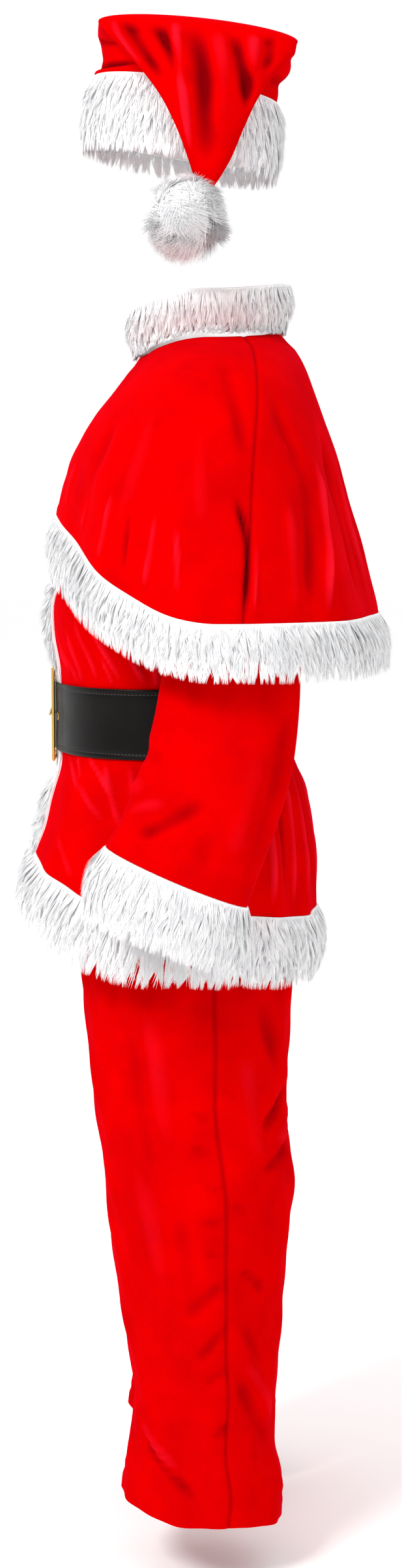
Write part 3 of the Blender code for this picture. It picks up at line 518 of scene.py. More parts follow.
def tube_sheet(rings: Array, turns: Array, stations: Array) -> Sheet:
    """A smooth tube through rings.

    Args:
        rings: rings x columns x 3.
        turns: the angle of each column.
        stations: where to put rows, 0 at the first ring and 1 more at each next one.

    Returns:
        The closed sheet.
    """
    flat = rings.reshape(len(rings), -1)
    points = smooth_rows(flat, np.arange(len(rings), dtype=float), stations)
    points = points.reshape(len(stations), -1, 3)
    wide = np.concatenate([points[:, -1:], points, points[:, :1]], axis=1)
    normals = unit(np.cross(wide[:, 2:] - wide[:, :-2], np.gradient(points, axis=0)))
    angles = np.broadcast_to(turns, points.shape[:2]).copy()
    up = path_length(points.mean(axis=1))
    degree = np.linalg.norm(np.diff(wide, axis=1), axis=-1)[:, 1:].sum(axis=1) / 360
    return Sheet(points, normals, angles, stations, up, degree, closed=True)


def into_frame(points: Array) -> Array:
    """Points over the floor, moved to the frame with its origin in the neck opening."""
    return points - np.array([0.0, NECK_BEHIND_ANKLES, NECK_TO_FLOOR])


def mesh_piece(
    name: str,
    points: Array,
    polygons: Sequence[Array],
    material: Material,
    shading: Array | None = None,
) -> bpy.types.Object:
    """Makes one shown piece from points over the floor, and rides it on the body.

    Args:
        name: the piece's name.
        points: its vertices.
        polygons: arrays of vertex numbers, one row for each polygon.
        material: its finish.
        shading: a shading normal for each point, where it isn't the mesh's own.

    Returns:
        The new object.
    """
    sizes = np.concatenate([np.full(len(p), p.shape[1]) for p in polygons])
    corners = np.concatenate([np.asarray(p).ravel() for p in polygons])
    mesh = bpy.data.meshes.new(name)
    mesh.vertices.add(len(points))
    mesh.vertices.foreach_set("co", into_frame(points).astype(np.float32).ravel())
    mesh.loops.add(len(corners))
    mesh.loops.foreach_set("vertex_index", corners.astype(np.int32))
    mesh.polygons.add(len(sizes))
    starts = np.concatenate([[0], np.cumsum(sizes)[:-1]])
    mesh.polygons.foreach_set("loop_start", starts.astype(np.int32))
    mesh.update(calc_edges=True)
    mesh.shade_smooth()
    if shading is not None:
        mesh.normals_split_custom_set_from_vertices(shading)
    mesh.materials.append(material)
    piece = bpy.data.objects.new(name, mesh)
    bpy.context.scene.collection.objects.link(piece)
    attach(piece, "root")
    LOG.info("%s: %d vertices, %d faces", name, len(points), len(sizes))
    return piece


def wall_polygons(rows: int, columns: int, closed: bool, capped: bool) -> list[Array]:
    """The faces of a wall between an outer and an inner grid, whose points follow each other."""
    grid = np.arange(rows * columns).reshape(rows, columns)
    if closed:
        grid = np.concatenate([grid, grid[:, :1]], axis=1)
    inner = grid + rows * columns
    outside = np.stack([grid[:-1, :-1], grid[:-1, 1:], grid[1:, 1:], grid[1:, :-1]], axis=-1)
    inside = np.stack([inner[:-1, :-1], inner[1:, :-1], inner[1:, 1:], inner[:-1, 1:]], axis=-1)
    low = np.stack([grid[0, 1:], grid[0, :-1], inner[0, :-1], inner[0, 1:]], axis=-1)
    made = [outside.reshape(-1, 4), inside.reshape(-1, 4), low]
    if capped:
        tips = 2 * rows * columns
        outer_tip = np.full(grid.shape[1] - 1, tips)
        made.append(np.stack([grid[-1, :-1], grid[-1, 1:], outer_tip], axis=-1))
        made.append(np.stack([inner[-1, 1:], inner[-1, :-1], outer_tip + 1], axis=-1))
    else:
        made.append(np.stack([grid[-1, :-1], grid[-1, 1:], inner[-1, 1:], inner[-1, :-1]], axis=-1))
    if not closed:
        made.append(np.stack([grid[:-1, 0], grid[1:, 0], inner[1:, 0], inner[:-1, 0]], axis=-1))
        made.append(np.stack([grid[1:, -1], grid[:-1, -1], inner[:-1, -1], inner[1:, -1]], axis=-1))
    return made


def wall_piece(
    name: str,
    outer: Array,
    inner: Array,
    material: Material,
    closed: bool = False,
    capped: bool = False,
) -> bpy.types.Object:
    """A closed wall between two grids of points.

    Args:
        name: the piece's name.
        outer: the outer grid.
        inner: the inner grid.
        material: its finish.
        closed: whether the last column joins the first.
        capped: whether the last row closes to a point.

    Returns:
        The new object.
    """
    points = [outer.reshape(-1, 3), inner.reshape(-1, 3)]
    if capped:
        points.append(np.array([outer[-1].mean(axis=0), inner[-1].mean(axis=0)]))
    polygons = wall_polygons(*outer.shape[:2], closed, capped)
    piece = mesh_piece(name, np.concatenate(points), polygons, material)
    piece.data.set_sharp_from_angle(angle=math.radians(60))
    return piece


def linear(colour: str) -> tuple[float, float, float, float]:
    """An sRGB hex colour as linear red, green, blue and an alpha of one."""
    channels = [int(colour[k : k + 2], 16) / 255 for k in (1, 3, 5)]
    made = [c / 12.92 if c <= 0.04045 else ((c + 0.055) / 1.055) ** 2.4 for c in channels]
    return (made[0], made[1], made[2], 1.0)


def add_node(
    tree: bpy.types.NodeTree,
    kind: str,
    values: dict[str | int, object] | None = None,
    links: dict[str | int, Socket] | None = None,
    **settings: object,
) -> bpy.types.Node:
    """Adds one node.

    Args:
        tree: the material's node tree.
        kind: the node's type.
        values: input values by socket name or number.
        links: sockets to link into its inputs, by socket name or number.
        **settings: properties of the node.

    Returns:
        The new node.
    """
    node = tree.nodes.new(kind)
    for key, value in settings.items():
        setattr(node, key, value)
    for socket, value in (values or {}).items():
        node.inputs[socket].default_value = value
    for socket, source in (links or {}).items():
        tree.links.new(source, node.inputs[socket])
    return node


class Finish:
    """A node material while it is made, with its Principled shader wired to the output."""

    def __init__(self, name: str, values: dict[str, object]) -> None:
        """Starts a material.

        Args:
            name: its name.
            values: the shader's own sockets and what they are set to.
        """
        self.material = bpy.data.materials.new(name)
        self.material.use_nodes = True
        self.tree = self.material.node_tree
        self.shader = self.tree.nodes["Principled BSDF"]
        for socket, value in values.items():
            self.shader.inputs[socket].default_value = value

    def texture(self, kind: str, size_mm: float, **values: float) -> bpy.types.Node:
        """A pattern on the object's own coordinates that repeats about every size_mm."""
        place = add_node(self.tree, "ShaderNodeTexCoord").outputs["Object"]
        return add_node(self.tree, kind, {"Scale": 1000 / size_mm, **values}, {"Vector": place})

    def noise(self, size_mm: float, detail: float, roughness: float = 0.5) -> Socket:
        """A cloudy pattern."""
        values = {"Detail": detail, "Roughness": roughness}
        return self.texture("ShaderNodeTexNoise", size_mm, **values).outputs["Fac"]

    def weighted(
        self, value: Socket, weight: float, base: Socket
    ) -> Socket:
        """One pattern times a weight, added to another."""
        values, links = {1: weight}, {0: value, 2: base}
        return add_node(
            self.tree, "ShaderNodeMath", values, links, operation="MULTIPLY_ADD"
        ).outputs[0]

    def spread(
        self,
        value: Socket,
        span: tuple[float, float],
        low: float = 0.0,
        high: float = 1.0,
    ) -> Socket:
        """A pattern whose values across a span become low to high, and no more than that."""
        values = {"From Min": span[0], "From Max": span[1], "To Min": low, "To Max": high}
        return add_node(self.tree, "ShaderNodeMapRange", values, {"Value": value}).outputs[0]

    def blend(
        self, share: Socket, low: str | Socket, high: str
    ) -> Socket:
        """A share of the way from a hex colour, or a pattern's colour, to another hex colour."""
        values, links = {"B": linear(high)}, {0: share}
        if isinstance(low, str):
            values["A"] = linear(low)
        else:
            links["A"] = low
        return add_node(self.tree, "ShaderNodeMix", values, links, data_type="RGBA").outputs["Result"]

    def wire(self, source: Socket, socket: str) -> None:
        """Links a pattern into one of the shader's sockets."""
        self.tree.links.new(source, self.shader.inputs[socket])

    def bump(self, height: Socket, strength: float, depth: float) -> None:
        """Raises the surface by a pattern, up to a depth in metres."""
        values = {"Strength": strength, "Distance": depth}
        self.wire(add_node(self.tree, "ShaderNodeBump", values, {"Height": height}).outputs[0], "Normal")


@dataclass(frozen=True)
class PolyesterVelvet:
    """Polyester velvet, woven and cut to a short pile that was brushed downwards.

    It takes light deep into the pile, so that it looks evenly red from the front and turns
    pink where the surface rolls away. Crease troughs and seams are painted darker as shade,
    and crease ridges are painted paler pink as a highlight.
    """

    colour: str = "#D60000"
    shaded_colour: str = "#BE0002"
    painted_trough_shade_colour: str = "#6A0006"
    painted_ridge_highlight_colour: str = "#F0182E"
    sheen_colour: str = "#FF2848"
    sheen: float = 0.22
    sheen_roughness: float = 0.35
    roughness: float = 0.9
    nap_mark_mm: float = 70.0
    pile_mm: float = 1.4
    pile_weight: float = 0.35
    shaded_span: tuple[float, float] = (0.45, 0.9)
    painted_shade_span: tuple[float, float] = (-0.10, -0.95)
    painted_shade_share: float = 0.9
    painted_highlight_span: tuple[float, float] = (0.10, 0.9)
    painted_highlight_share: float = 0.6

    def material(self) -> Material:
        """Builds the material."""
        finish = Finish(
            "polyester velvet",
            {
                "Roughness": self.roughness,
                "Specular IOR Level": 0.0,
                "Sheen Weight": self.sheen,
                "Sheen Roughness": self.sheen_roughness,
                "Sheen Tint": linear(self.sheen_colour),
            },
        )
        marks = finish.noise(self.nap_mark_mm, detail=4.0, roughness=0.6)
        pile = finish.noise(self.pile_mm, detail=2.0)
        share = finish.spread(finish.weighted(pile, self.pile_weight, marks), self.shaded_span)
        colour = finish.blend(share, self.shaded_colour, self.colour)
        # The fold mark paints shade into crease troughs and seams, and a pale pink highlight onto crease
        # ridges.
        pressed = add_node(finish.tree, "ShaderNodeAttribute", attribute_name=PAINTED_FOLD_SHADING_MARK)
        for tone, span, most in (
            (self.painted_trough_shade_colour, self.painted_shade_span, self.painted_shade_share),
            (self.painted_ridge_highlight_colour, self.painted_highlight_span, self.painted_highlight_share),
        ):
            colour = finish.blend(finish.spread(pressed.outputs["Fac"], span, high=most), colour, tone)
        finish.wire(colour, "Base Color")
        finish.bump(pile, strength=0.25, depth=0.0004)
        return finish.material


@dataclass(frozen=True)
class LongPilePlush:
    """Acrylic long-pile plush, knitted and combed downwards: soft white with cool grey partings."""

    colour: str = "#F6F6F6"
    shaded_colour: str = "#E5E6EA"
    roughness: float = 0.85
    sheen: float = 0.15
    tuft_mm: float = 22.0
    strand_weight: float = 0.5
    shaded_span: tuple[float, float] = (0.35, 0.85)

    def material(self) -> Material:
        """Builds the material."""
        finish = Finish(
            "long-pile plush",
            {"Roughness": self.roughness, "Specular IOR Level": 0.2, "Sheen Weight": self.sheen},
        )
        tufts = finish.noise(self.tuft_mm, detail=3.0)
        strand = add_node(finish.tree, "ShaderNodeNewGeometry").outputs["Random Per Island"]
        share = finish.spread(finish.weighted(strand, self.strand_weight, tufts), self.shaded_span)
        finish.wire(finish.blend(share, self.shaded_colour, self.colour), "Base Color")
        return finish.material


@dataclass(frozen=True)
class Leatherette:
    """PVC leatherette, embossed with a fine grain: black, with a soft spread highlight."""

    colour: str = "#070504"
    worn_colour: str = "#0F0C0B"
    roughness: float = 0.4
    grain_mm: float = 1.1
    rub_mm: float = 24.0

    def material(self) -> Material:
        """Builds the material."""
        finish = Finish("embossed leatherette", {"Specular IOR Level": 0.13})
        grain = finish.texture("ShaderNodeTexVoronoi", self.grain_mm).outputs["Distance"]
        rub = finish.noise(self.rub_mm, detail=5.0)
        gloss = finish.spread(rub, (0.0, 1.0), self.roughness - 0.07, self.roughness + 0.1)
        finish.wire(gloss, "Roughness")
        finish.wire(finish.blend(rub, self.colour, self.worn_colour), "Base Color")
        finish.bump(grain, strength=0.3, depth=0.0003)
        return finish.material


@dataclass(frozen=True)
class BondedThread:
    """Bonded nylon thread, twisted: charcoal, a little lighter than the leatherette it holds."""

    colour: str = "#2A2624"
    roughness: float = 0.55
    twist_mm: float = 0.6

    def material(self) -> Material:
        """Builds the material."""
        values = {"Base Color": linear(self.colour), "Roughness": self.roughness}
        finish = Finish("bonded nylon thread", values)
        finish.bump(finish.noise(self.twist_mm, detail=2.0), strength=0.4, depth=0.0002)
        return finish.material


@dataclass(frozen=True)
class GiltMetal:
    """Die-cast zinc with a gilt plating, polished: warm gold with faint handling marks."""

    colour: str = "#E8BE62"
    roughness: float = 0.16
    handling_mm: float = 9.0

    def material(self) -> Material:
        """Builds the material."""
        finish = Finish("gilt zinc", {"Base Color": linear(self.colour), "Metallic": 1.0})
        marks = finish.noise(self.handling_mm, detail=6.0)
        gloss = finish.spread(marks, (0.0, 1.0), self.roughness - 0.06, self.roughness + 0.16)
        finish.wire(gloss, "Roughness")
        return finish.material


@dataclass
class Finishes:
    """The suit's materials, each made once."""

    velvet: Material = field(default_factory=lambda: PolyesterVelvet().material())
    plush: Material = field(default_factory=lambda: LongPilePlush().material())
    leatherette: Material = field(default_factory=lambda: Leatherette().material())
    thread: Material = field(default_factory=lambda: BondedThread().material())
    gilt: Material = field(default_factory=lambda: GiltMetal().material())


SEAM_COVER = 0.004
PUFF_RISE = 0.032
PUFF_AT_SEAM = 0.15
ROOT_LIFT = 0.0002
LOWEST_ROOT = 0.92
TUFT_JITTER = (0.1, 0.9)
TUFT_TURN = 0.20
TUFT_REACH = (0.82, 1.12)
TUFT_STAND = (0.7, 1.1)
TUFT_PAST_EDGE = 0.006
STRAND_TURN = 0.10
STRAND_REACH = (0.8, 1.1)
STRAND_STAND = (0.75, 1.1)
STRAND_WIDTH = (0.75, 1.25)
STRAND_WIDEST = 0.4
STRAND_PAST_EDGE = 0.004
TIP_PULL = (0.45, 0.85)
TIP_PULL_DOWN = 0.5
EDGE_STAND = 0.6
LEAST_STAND = 0.3
STAND_RISE = 0.06


@dataclass
class Plush:
    """How long pile grows on its backing: strands rise, lie down the wall and gather in tufts.

    Attributes:
        length: how far a strand lies down the wall, in metres.
        stand: how far its tip stands out of the backing.
        density: strands for each square metre.
        tuft: the distance between tufts.
        hang: how far the strands reach below the backing's free edge.
        strand: the width of a strand at its middle.
        backing: how far the knitted backing and its under-pile stand out of the cloth.
        ridge: how far a strand's sides lie below its middle, over half its width.
        scatter: how far a strand's shading turns from that of the pile as a whole.
        roundness: how far the shading of a strand's two sides turns apart.
        side_fan: how far the strands at the strip's side edges spread over them.
    """

    length: float = 0.028
    stand: float = 0.007
    density: float = 430_000
    tuft: float = 0.007
    hang: float = 0.020
    strand: float = 0.0011
    backing: float = 0.008
    ridge: float = 0.35
    scatter: float = 0.08
    roundness: float = 0.16
    side_fan: float = 0.0

    def sample(self, sheet: Sheet, u: Array, v: Array) -> tuple[Array, Array]:
        """The sheet's points and normals at broken column and row numbers; v may run below 0."""
        rows, columns = sheet.points.shape[:2]
        if sheet.closed:
            c0 = np.floor(u).astype(int) % columns
            c1 = (c0 + 1) % columns
        else:
            u = np.clip(u, 0, columns - 1.001)
            c0 = np.floor(u).astype(int)
            c1 = c0 + 1
        cu = (u - np.floor(u))[:, None]
        r0 = np.clip(np.floor(v).astype(int), 0, rows - 2)
        cv = (np.minimum(v, rows - 1) - r0)[:, None]
        made = []
        for grid in (sheet.points, sheet.normals):
            low = grid[r0, c0] * (1 - cu) + grid[r0, c1] * cu
            high = grid[r0 + 1, c0] * (1 - cu) + grid[r0 + 1, c1] * cu
            made.append(low * (1 - cv) + high * cv)
        return made[0], unit(made[1])

    def grow(
        self, sheet: Sheet, seed: int, stand_at: Callable[[Array], Array] | None = None
    ) -> tuple[Array, Array, Array]:
        """Grows strands on a sheet whose first row is the plush's free edge.

        Args:
            sheet: the sheet, including the strip below the backing that the strands hang over.
            seed: the seed of the random numbers.
            stand_at: gives the share of the full stand at each row height.

        Returns:
            The strands' points, their triangles and their points' shading normals.
        """
        chance = np.random.default_rng(seed)
        height, across = sheet.along(), sheet.round()
        width = across[-1]
        count = int(self.density * width * (height[-1] - self.hang))
        root_x = chance.uniform(0, width, count)
        root_y = chance.uniform(self.hang * LOWEST_ROOT, height[-1] + SEAM_COVER, count)
        root_y = np.minimum(root_y, height[-1])

        cells = (int(width / self.tuft) + 4, int(height[-1] / self.tuft) + 4)
        jitter = chance.uniform(*TUFT_JITTER, (*cells, 2))
        tuft_turn = chance.normal(0, TUFT_TURN, cells)
        tuft_reach = chance.uniform(*TUFT_REACH, cells)
        tuft_stand = chance.uniform(*TUFT_STAND, cells)
        cell_x = np.floor(root_x / self.tuft).astype(int) + 1
        cell_y = np.floor(root_y / self.tuft).astype(int) + 1
        best = np.full(count, 1e9)
        chosen_x, chosen_y = cell_x.copy(), cell_y.copy()
        middle_x, middle_y = root_x.copy(), root_y.copy()
        for step_x in (-1, 0, 1):
            for step_y in (-1, 0, 1):
                cx, cy = cell_x + step_x, cell_y + step_y
                there = jitter[cx, cy]
                px = (cx - 1 + there[:, 0]) * self.tuft
                py = (cy - 1 + there[:, 1]) * self.tuft
                far = (px - root_x) ** 2 + (py - root_y) ** 2
                nearer = far < best
                best = np.where(nearer, far, best)
                chosen_x, chosen_y = np.where(nearer, cx, chosen_x), np.where(nearer, cy, chosen_y)
                middle_x, middle_y = np.where(nearer, px, middle_x), np.where(nearer, py, middle_y)

        turn = tuft_turn[chosen_x, chosen_y] + chance.normal(0, STRAND_TURN, count)
        tuft_length = self.length * tuft_reach[chosen_x, chosen_y]
        reach = tuft_length * chance.uniform(*STRAND_REACH, count)
        low_reach = np.minimum(reach, root_y + STRAND_PAST_EDGE)
        reach = np.where(root_y < self.length, low_reach, reach)
        tuft_length = np.minimum(tuft_length, middle_y + TUFT_PAST_EDGE)
        tip_x = root_x + reach * np.sin(turn)
        tip_y = root_y - reach * np.cos(turn)
        gather_x = middle_x + tuft_length * np.sin(tuft_turn[chosen_x, chosen_y])
        gather_y = middle_y - tuft_length
        pull = chance.uniform(*TIP_PULL, count)
        tip_x += (gather_x - tip_x) * pull
        tip_y += (gather_y - tip_y) * pull * TIP_PULL_DOWN
        draped = np.zeros(count)
        if self.side_fan:
            edge = np.minimum(root_x, width - root_x)
            draped = np.exp(-edge / self.side_fan)
            tip_x += np.where(root_x < width / 2, -1.0, 1.0) * self.side_fan * draped
        stand = self.stand * tuft_stand[chosen_x, chosen_y]
        stand = stand * chance.uniform(*STRAND_STAND, count)
        if stand_at is not None:
            stand = stand * stand_at(np.interp(root_y, height, sheet.rows))

        points, outward = [], []
        for x, y, share in ((root_x, root_y, 0.0), (tip_x, tip_y, 1.0)):
            out = self.puff(y, height[-1]) + stand * share + ROOT_LIFT
            out = out * (1 - draped * share)
            fall = np.clip(EDGE_STAND + y / STAND_RISE, LEAST_STAND, 1)
            column = np.interp(x % width if sheet.closed else x, across, np.arange(len(across)))
            row = np.interp(y, height, np.arange(len(height))) + np.minimum(y, 0) / height[1]
            at, normal = self.sample(sheet, column, row)
            points.append(at + normal * (out * fall)[:, None])
            outward.append(normal)
        return self.strands(*points, *outward, chance)

    def puff(self, height: Array, seam: float) -> Array:
        """How far the under-pile stands out at heights above the pile's lowest tips.

        Args:
            height: the heights.
            seam: the height of the seam, where the pile is sewn down.

        Returns:
            A distance for each height.
        """
        return self.backing * np.clip(PUFF_AT_SEAM + (seam - height) / PUFF_RISE, 0, 1)

    def strands(
        self,
        root: Array,
        tip: Array,
        root_out: Array,
        tip_out: Array,
        chance: np.random.Generator,
    ) -> tuple[Array, Array, Array]:
        """Thin strands, widest near the middle and ridged like a roof.

        Args:
            root: where each strand starts.
            tip: where it ends.
            root_out: the direction out of the backing at its root.
            tip_out: the same at its tip.
            chance: the random numbers that vary the strands.

        Returns:
            The strands' points, four for each, their triangles and their points' shading normals.
        """
        count = len(root)
        out = unit(root_out + tip_out)
        across = unit(np.cross(out, tip - root) + 1e-9)
        half = chance.uniform(*STRAND_WIDTH, count)[:, None] * self.strand / 2
        eave = root + (tip - root) * STRAND_WIDEST - out * half * self.ridge
        points = np.stack([root, eave + across * half, eave - across * half, tip], axis=1)
        first = np.arange(count)[:, None] * 4
        triangles = np.concatenate([first + np.array([[0, 3, 1]]), first + np.array([[0, 2, 3]])])
        tilt = across * chance.normal(0, self.scatter, (count, 1))
        bow = across * self.roundness
        shading = np.stack([root_out + tilt, out + tilt + bow, out + tilt - bow, tip_out + tilt], axis=1)
        return points.reshape(-1, 3), triangles, unit(shading.reshape(-1, 3))


class ClothCut(NamedTuple):
    """A piece's cut: the box that it fits, in metres, and its own area in square metres."""

    width: float
    length: float
    area: float


@dataclass
class Tailor:
    """Makes velvet walls and plush trims from sheets, names each after the frame's node that it stands
    for and hides that node.
    """

    finishes: Finishes
    seed: int = 1

    def velvet(
        self, node: str, sheet: Sheet, cut: ClothCut, rests_on: Sequence[str], capped: bool = False
    ) -> bpy.types.Object:
        """A wall of velvet whose outer face is the sheet.

        Args:
            node: the frame's node that it stands for.
            sheet: the wall's outer face.
            cut: the size that it was cut to. Not used.
            rests_on: the nodes that carry it. Not used.
            capped: whether the last row closes to a point.

        Returns:
            The new object.
        """
        outer, inner = sheet.points, sheet.moved_out(-CLOTH)
        piece = wall_piece(
            node + "_velvet", outer, inner, self.finishes.velvet, sheet.closed, capped
        )
        # The mark that paints shade into troughs and seams and a highlight onto ridges, for both faces
        # of the wall.
        pressed = np.broadcast_to(sheet.pressed, sheet.angles.shape).ravel()
        pressed = np.concatenate([pressed, pressed, np.zeros(2 * capped)])
        mark = piece.data.attributes.new(PAINTED_FOLD_SHADING_MARK, "FLOAT", "POINT")
        mark.data.foreach_set("value", pressed.astype(np.float32))
        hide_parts(node)
        return piece

    def trim(
        self,
        node: str,
        sheet: Sheet,
        plush: Plush,
        cut: ClothCut,
        rests_on: Sequence[str],
        stand_at: Callable[[Array], Array] | None = None,
    ) -> bpy.types.Object:
        """A plush trim: a knitted backing in line with the cloth, and the pile that grows on it.

        Args:
            node: the frame's node that it stands for.
            sheet: the trim's face from the tips of its hanging pile up to its seam.
            plush: how the pile grows.
            cut: the size that the backing was cut to. Not used.
            rests_on: the nodes that carry it. Not used.
            stand_at: gives the share of the pile's full stand at each row height.

        Returns:
            The backing.
        """
        self.seed += 1
        knit = sheet.above(int(np.searchsorted(sheet.along(), plush.hang)))
        height, seam = knit.along(), knit.along()[-1]
        puff = np.minimum(plush.puff(height, seam), plush.puff(seam - height, seam))
        backing = wall_piece(
            node + "_backing",
            knit.moved_out(puff[:, None]),
            knit.moved_out(-CLOTH),
            self.finishes.plush,
            sheet.closed,
        )
        points, triangles, shading = plush.grow(sheet, self.seed, stand_at)
        pile = mesh_piece(
            node + "_pile", points, [triangles], self.finishes.plush, shading
        )
        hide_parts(node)
        return backing


COAT_HEM_SEAM = 0.860
COAT_TOP = 1.551
ARMHOLE_MIDDLE = 1.39
ARMHOLE_HALF_HEIGHT = 0.09
ARMHOLE_HALF_ANGLE = 38.0
BAND_END_ANGLE = -78.0
COAT_TRIM_DEPTH = 0.085
PRESSED_BY_BELT = (1.030, 1.142)
PRESS_FADE = 0.034
STAND_BEHIND_BELT = 0.12
UNDER_CAPE = 1.30
STAND_UNDER_CAPE = 0.25

COAT_CREASES = (
    Crease(-69, 1.171, -57, 1.152, -50, 1.130, 4, 2.4, 0.3),
    Crease(-76, 1.21, -66, 1.17, -58, 1.130, 4, 2.4, 0.3),
    Crease(-58, 1.204, -50, 1.152, -47, 1.130, 4, 3.0, 0.4),
    Crease(-50, 1.215, -42, 1.175, -36, 1.130, 4, 2.6, 0.3),
    Crease(-39, 1.205, -32, 1.179, -21, 1.129, 4, 3.4, 0.4),
    Crease(-34, 1.165, -30, 1.15, -27, 1.130, 3, 2.2, 0.2),
    Crease(-25, 1.195, -17, 1.163, -10, 1.129, 4, 3.2, 0.4),
    Crease(-9, 1.175, -6, 1.141, -7, 1.129, 4, 3.0, 0.3),
    Crease(4, 1.18, 6, 1.15, 8, 1.129, 4, 2.6, -0.3),
    Crease(-63, 1.042, -56, 1.02, -47, 0.992, 4, 3.0, 0.4),
    Crease(-52, 1.043, -50, 1.03, -49, 1.010, 3, 2.6, 0.3),
    Crease(-44, 1.043, -37, 1.027, -26, 0.995, 4, 3.4, 0.4),
    Crease(-52, 1.010, -40, 0.985, -26, 0.960, 5, 2.6, 0.3),
    Crease(-34, 1.043, -28, 1.00, -20, 0.95, 5, 3.0, 0.4),
    Crease(-20, 1.043, -16, 1.00, -12, 0.93, 6, 3.4, 0.4),
    Crease(-6, 1.043, -5, 0.98, -2, 0.90, 6, 3.2, 0.3),
    Crease(-58, 0.925, -50, 0.895, -40, 0.870, 5, 2.4, 0.3),
    Crease(10, 1.043, 12, 0.97, 14, 0.89, 6, 3.6, 0.4),
    Crease(25, 1.043, 27, 0.96, 29, 0.88, 6, 3.2, 0.4),
    Crease(39, 1.043, 39, 0.937, 38, 0.862, 5, 4.0, 0.5),
    Crease(48, 1.043, 48, 0.95, 47, 0.88, 7, -4.0, 0.3),
    Crease(57, 1.043, 57, 0.952, 54, 0.862, 5, 4.0, -0.5),
    Crease(68, 1.043, 66, 0.95, 63, 0.862, 5, 3.6, 0.4),
    Crease(78, 1.043, 79, 0.96, 82, 0.88, 7, -3.6, 0.3),
    Crease(88, 1.043, 88, 0.95, 86, 0.862, 5, 3.4, 0.4),
    Crease(20, 1.130, 24, 1.18, 30, 1.24, 4, 3.0, 0.3),
    Crease(33, 1.130, 34, 1.16, 38, 1.19, 3, 2.4, 0.3),
    Crease(47, 1.130, 50, 1.18, 56, 1.23, 4, 3.2, 0.3),
    Crease(62, 1.130, 62, 1.17, 66, 1.21, 4, 2.6, 0.3),
    Crease(77, 1.130, 78, 1.17, 84, 1.23, 4, 3.0, 0.3),
)


def both_sides(creases: Sequence[Crease], shift: float) -> tuple[Crease, ...]:
    """The left side's creases, and like ones on the right that differ a little from them.

    Args:
        creases: the left side's creases.
        shift: how far the right side's ends are moved, in degrees.

    Returns:
        The creases of both sides.
    """
    right = []
    for number, crease in enumerate(creases):
        sway = shift * math.sin(1.7 * number + 0.6)
        right.append(
            crease._replace(
                start_angle=180 - crease.start_angle + sway,
                bend_angle=180 - crease.bend_angle - sway / 2,
                end_angle=180 - crease.end_angle + sway / 2,
                depth=crease.depth * (1 + 0.25 * math.cos(2.9 * number)),
                lean=-crease.lean,
            )
        )
    return tuple(creases) + tuple(right)


@dataclass
class FrontedGarment:
    """A garment on level rings that meets down the front: two fronts, a back and a plush hem."""

    tailor: Tailor
    form: RingForm
    name: str

    def right_columns(self, height: float) -> Array:
        """Angles across the right front, which mirrors the left one."""
        return 180 - self.front_columns(height)[::-1]

    def panels(self) -> tuple[Callable[[float], Array], ...]:
        """The columns of the left side, the right side and the back."""
        return self.front_columns, self.right_columns, self.back_columns

    def build_walls(
        self, heights: Array, creases: Sequence[Crease], front: ClothCut, back: ClothCut, carrier: str
    ) -> None:
        """Makes the velvet fronts and back.

        Args:
            heights: the rows.
            creases: the creases of both sides.
            front: the size that each front was cut to.
            back: the size that the back was cut to.
            carrier: the node that carries them.
        """
        ends, cuts = ("front_left", "front_right", "back"), (front, front, back)
        for end, columns, cut in zip(ends, self.panels(), cuts):
            sheet = self.form.sheet(heights, columns).creased(creases).seamed()
            self.tailor.velvet(f"{self.name}_{end}", sheet, cut, [carrier])

    def build_hem(self, heights: Array, plush: Plush, side: ClothCut, back: ClothCut) -> None:
        """Makes the hem's plush strips.

        Args:
            heights: the rows, from the tips of the pile to the seam.
            plush: how the pile grows.
            side: the size that each side's backing was cut to.
            back: the size that the back's was cut to.
        """
        for end, columns, cut in zip(("left", "right", "back"), self.panels(), (side, side, back)):
            sheet = self.form.sheet(heights, columns)
            self.tailor.trim(f"{self.name}_hem_trim_{end}", sheet, plush, cut, [f"{self.name}_back"])


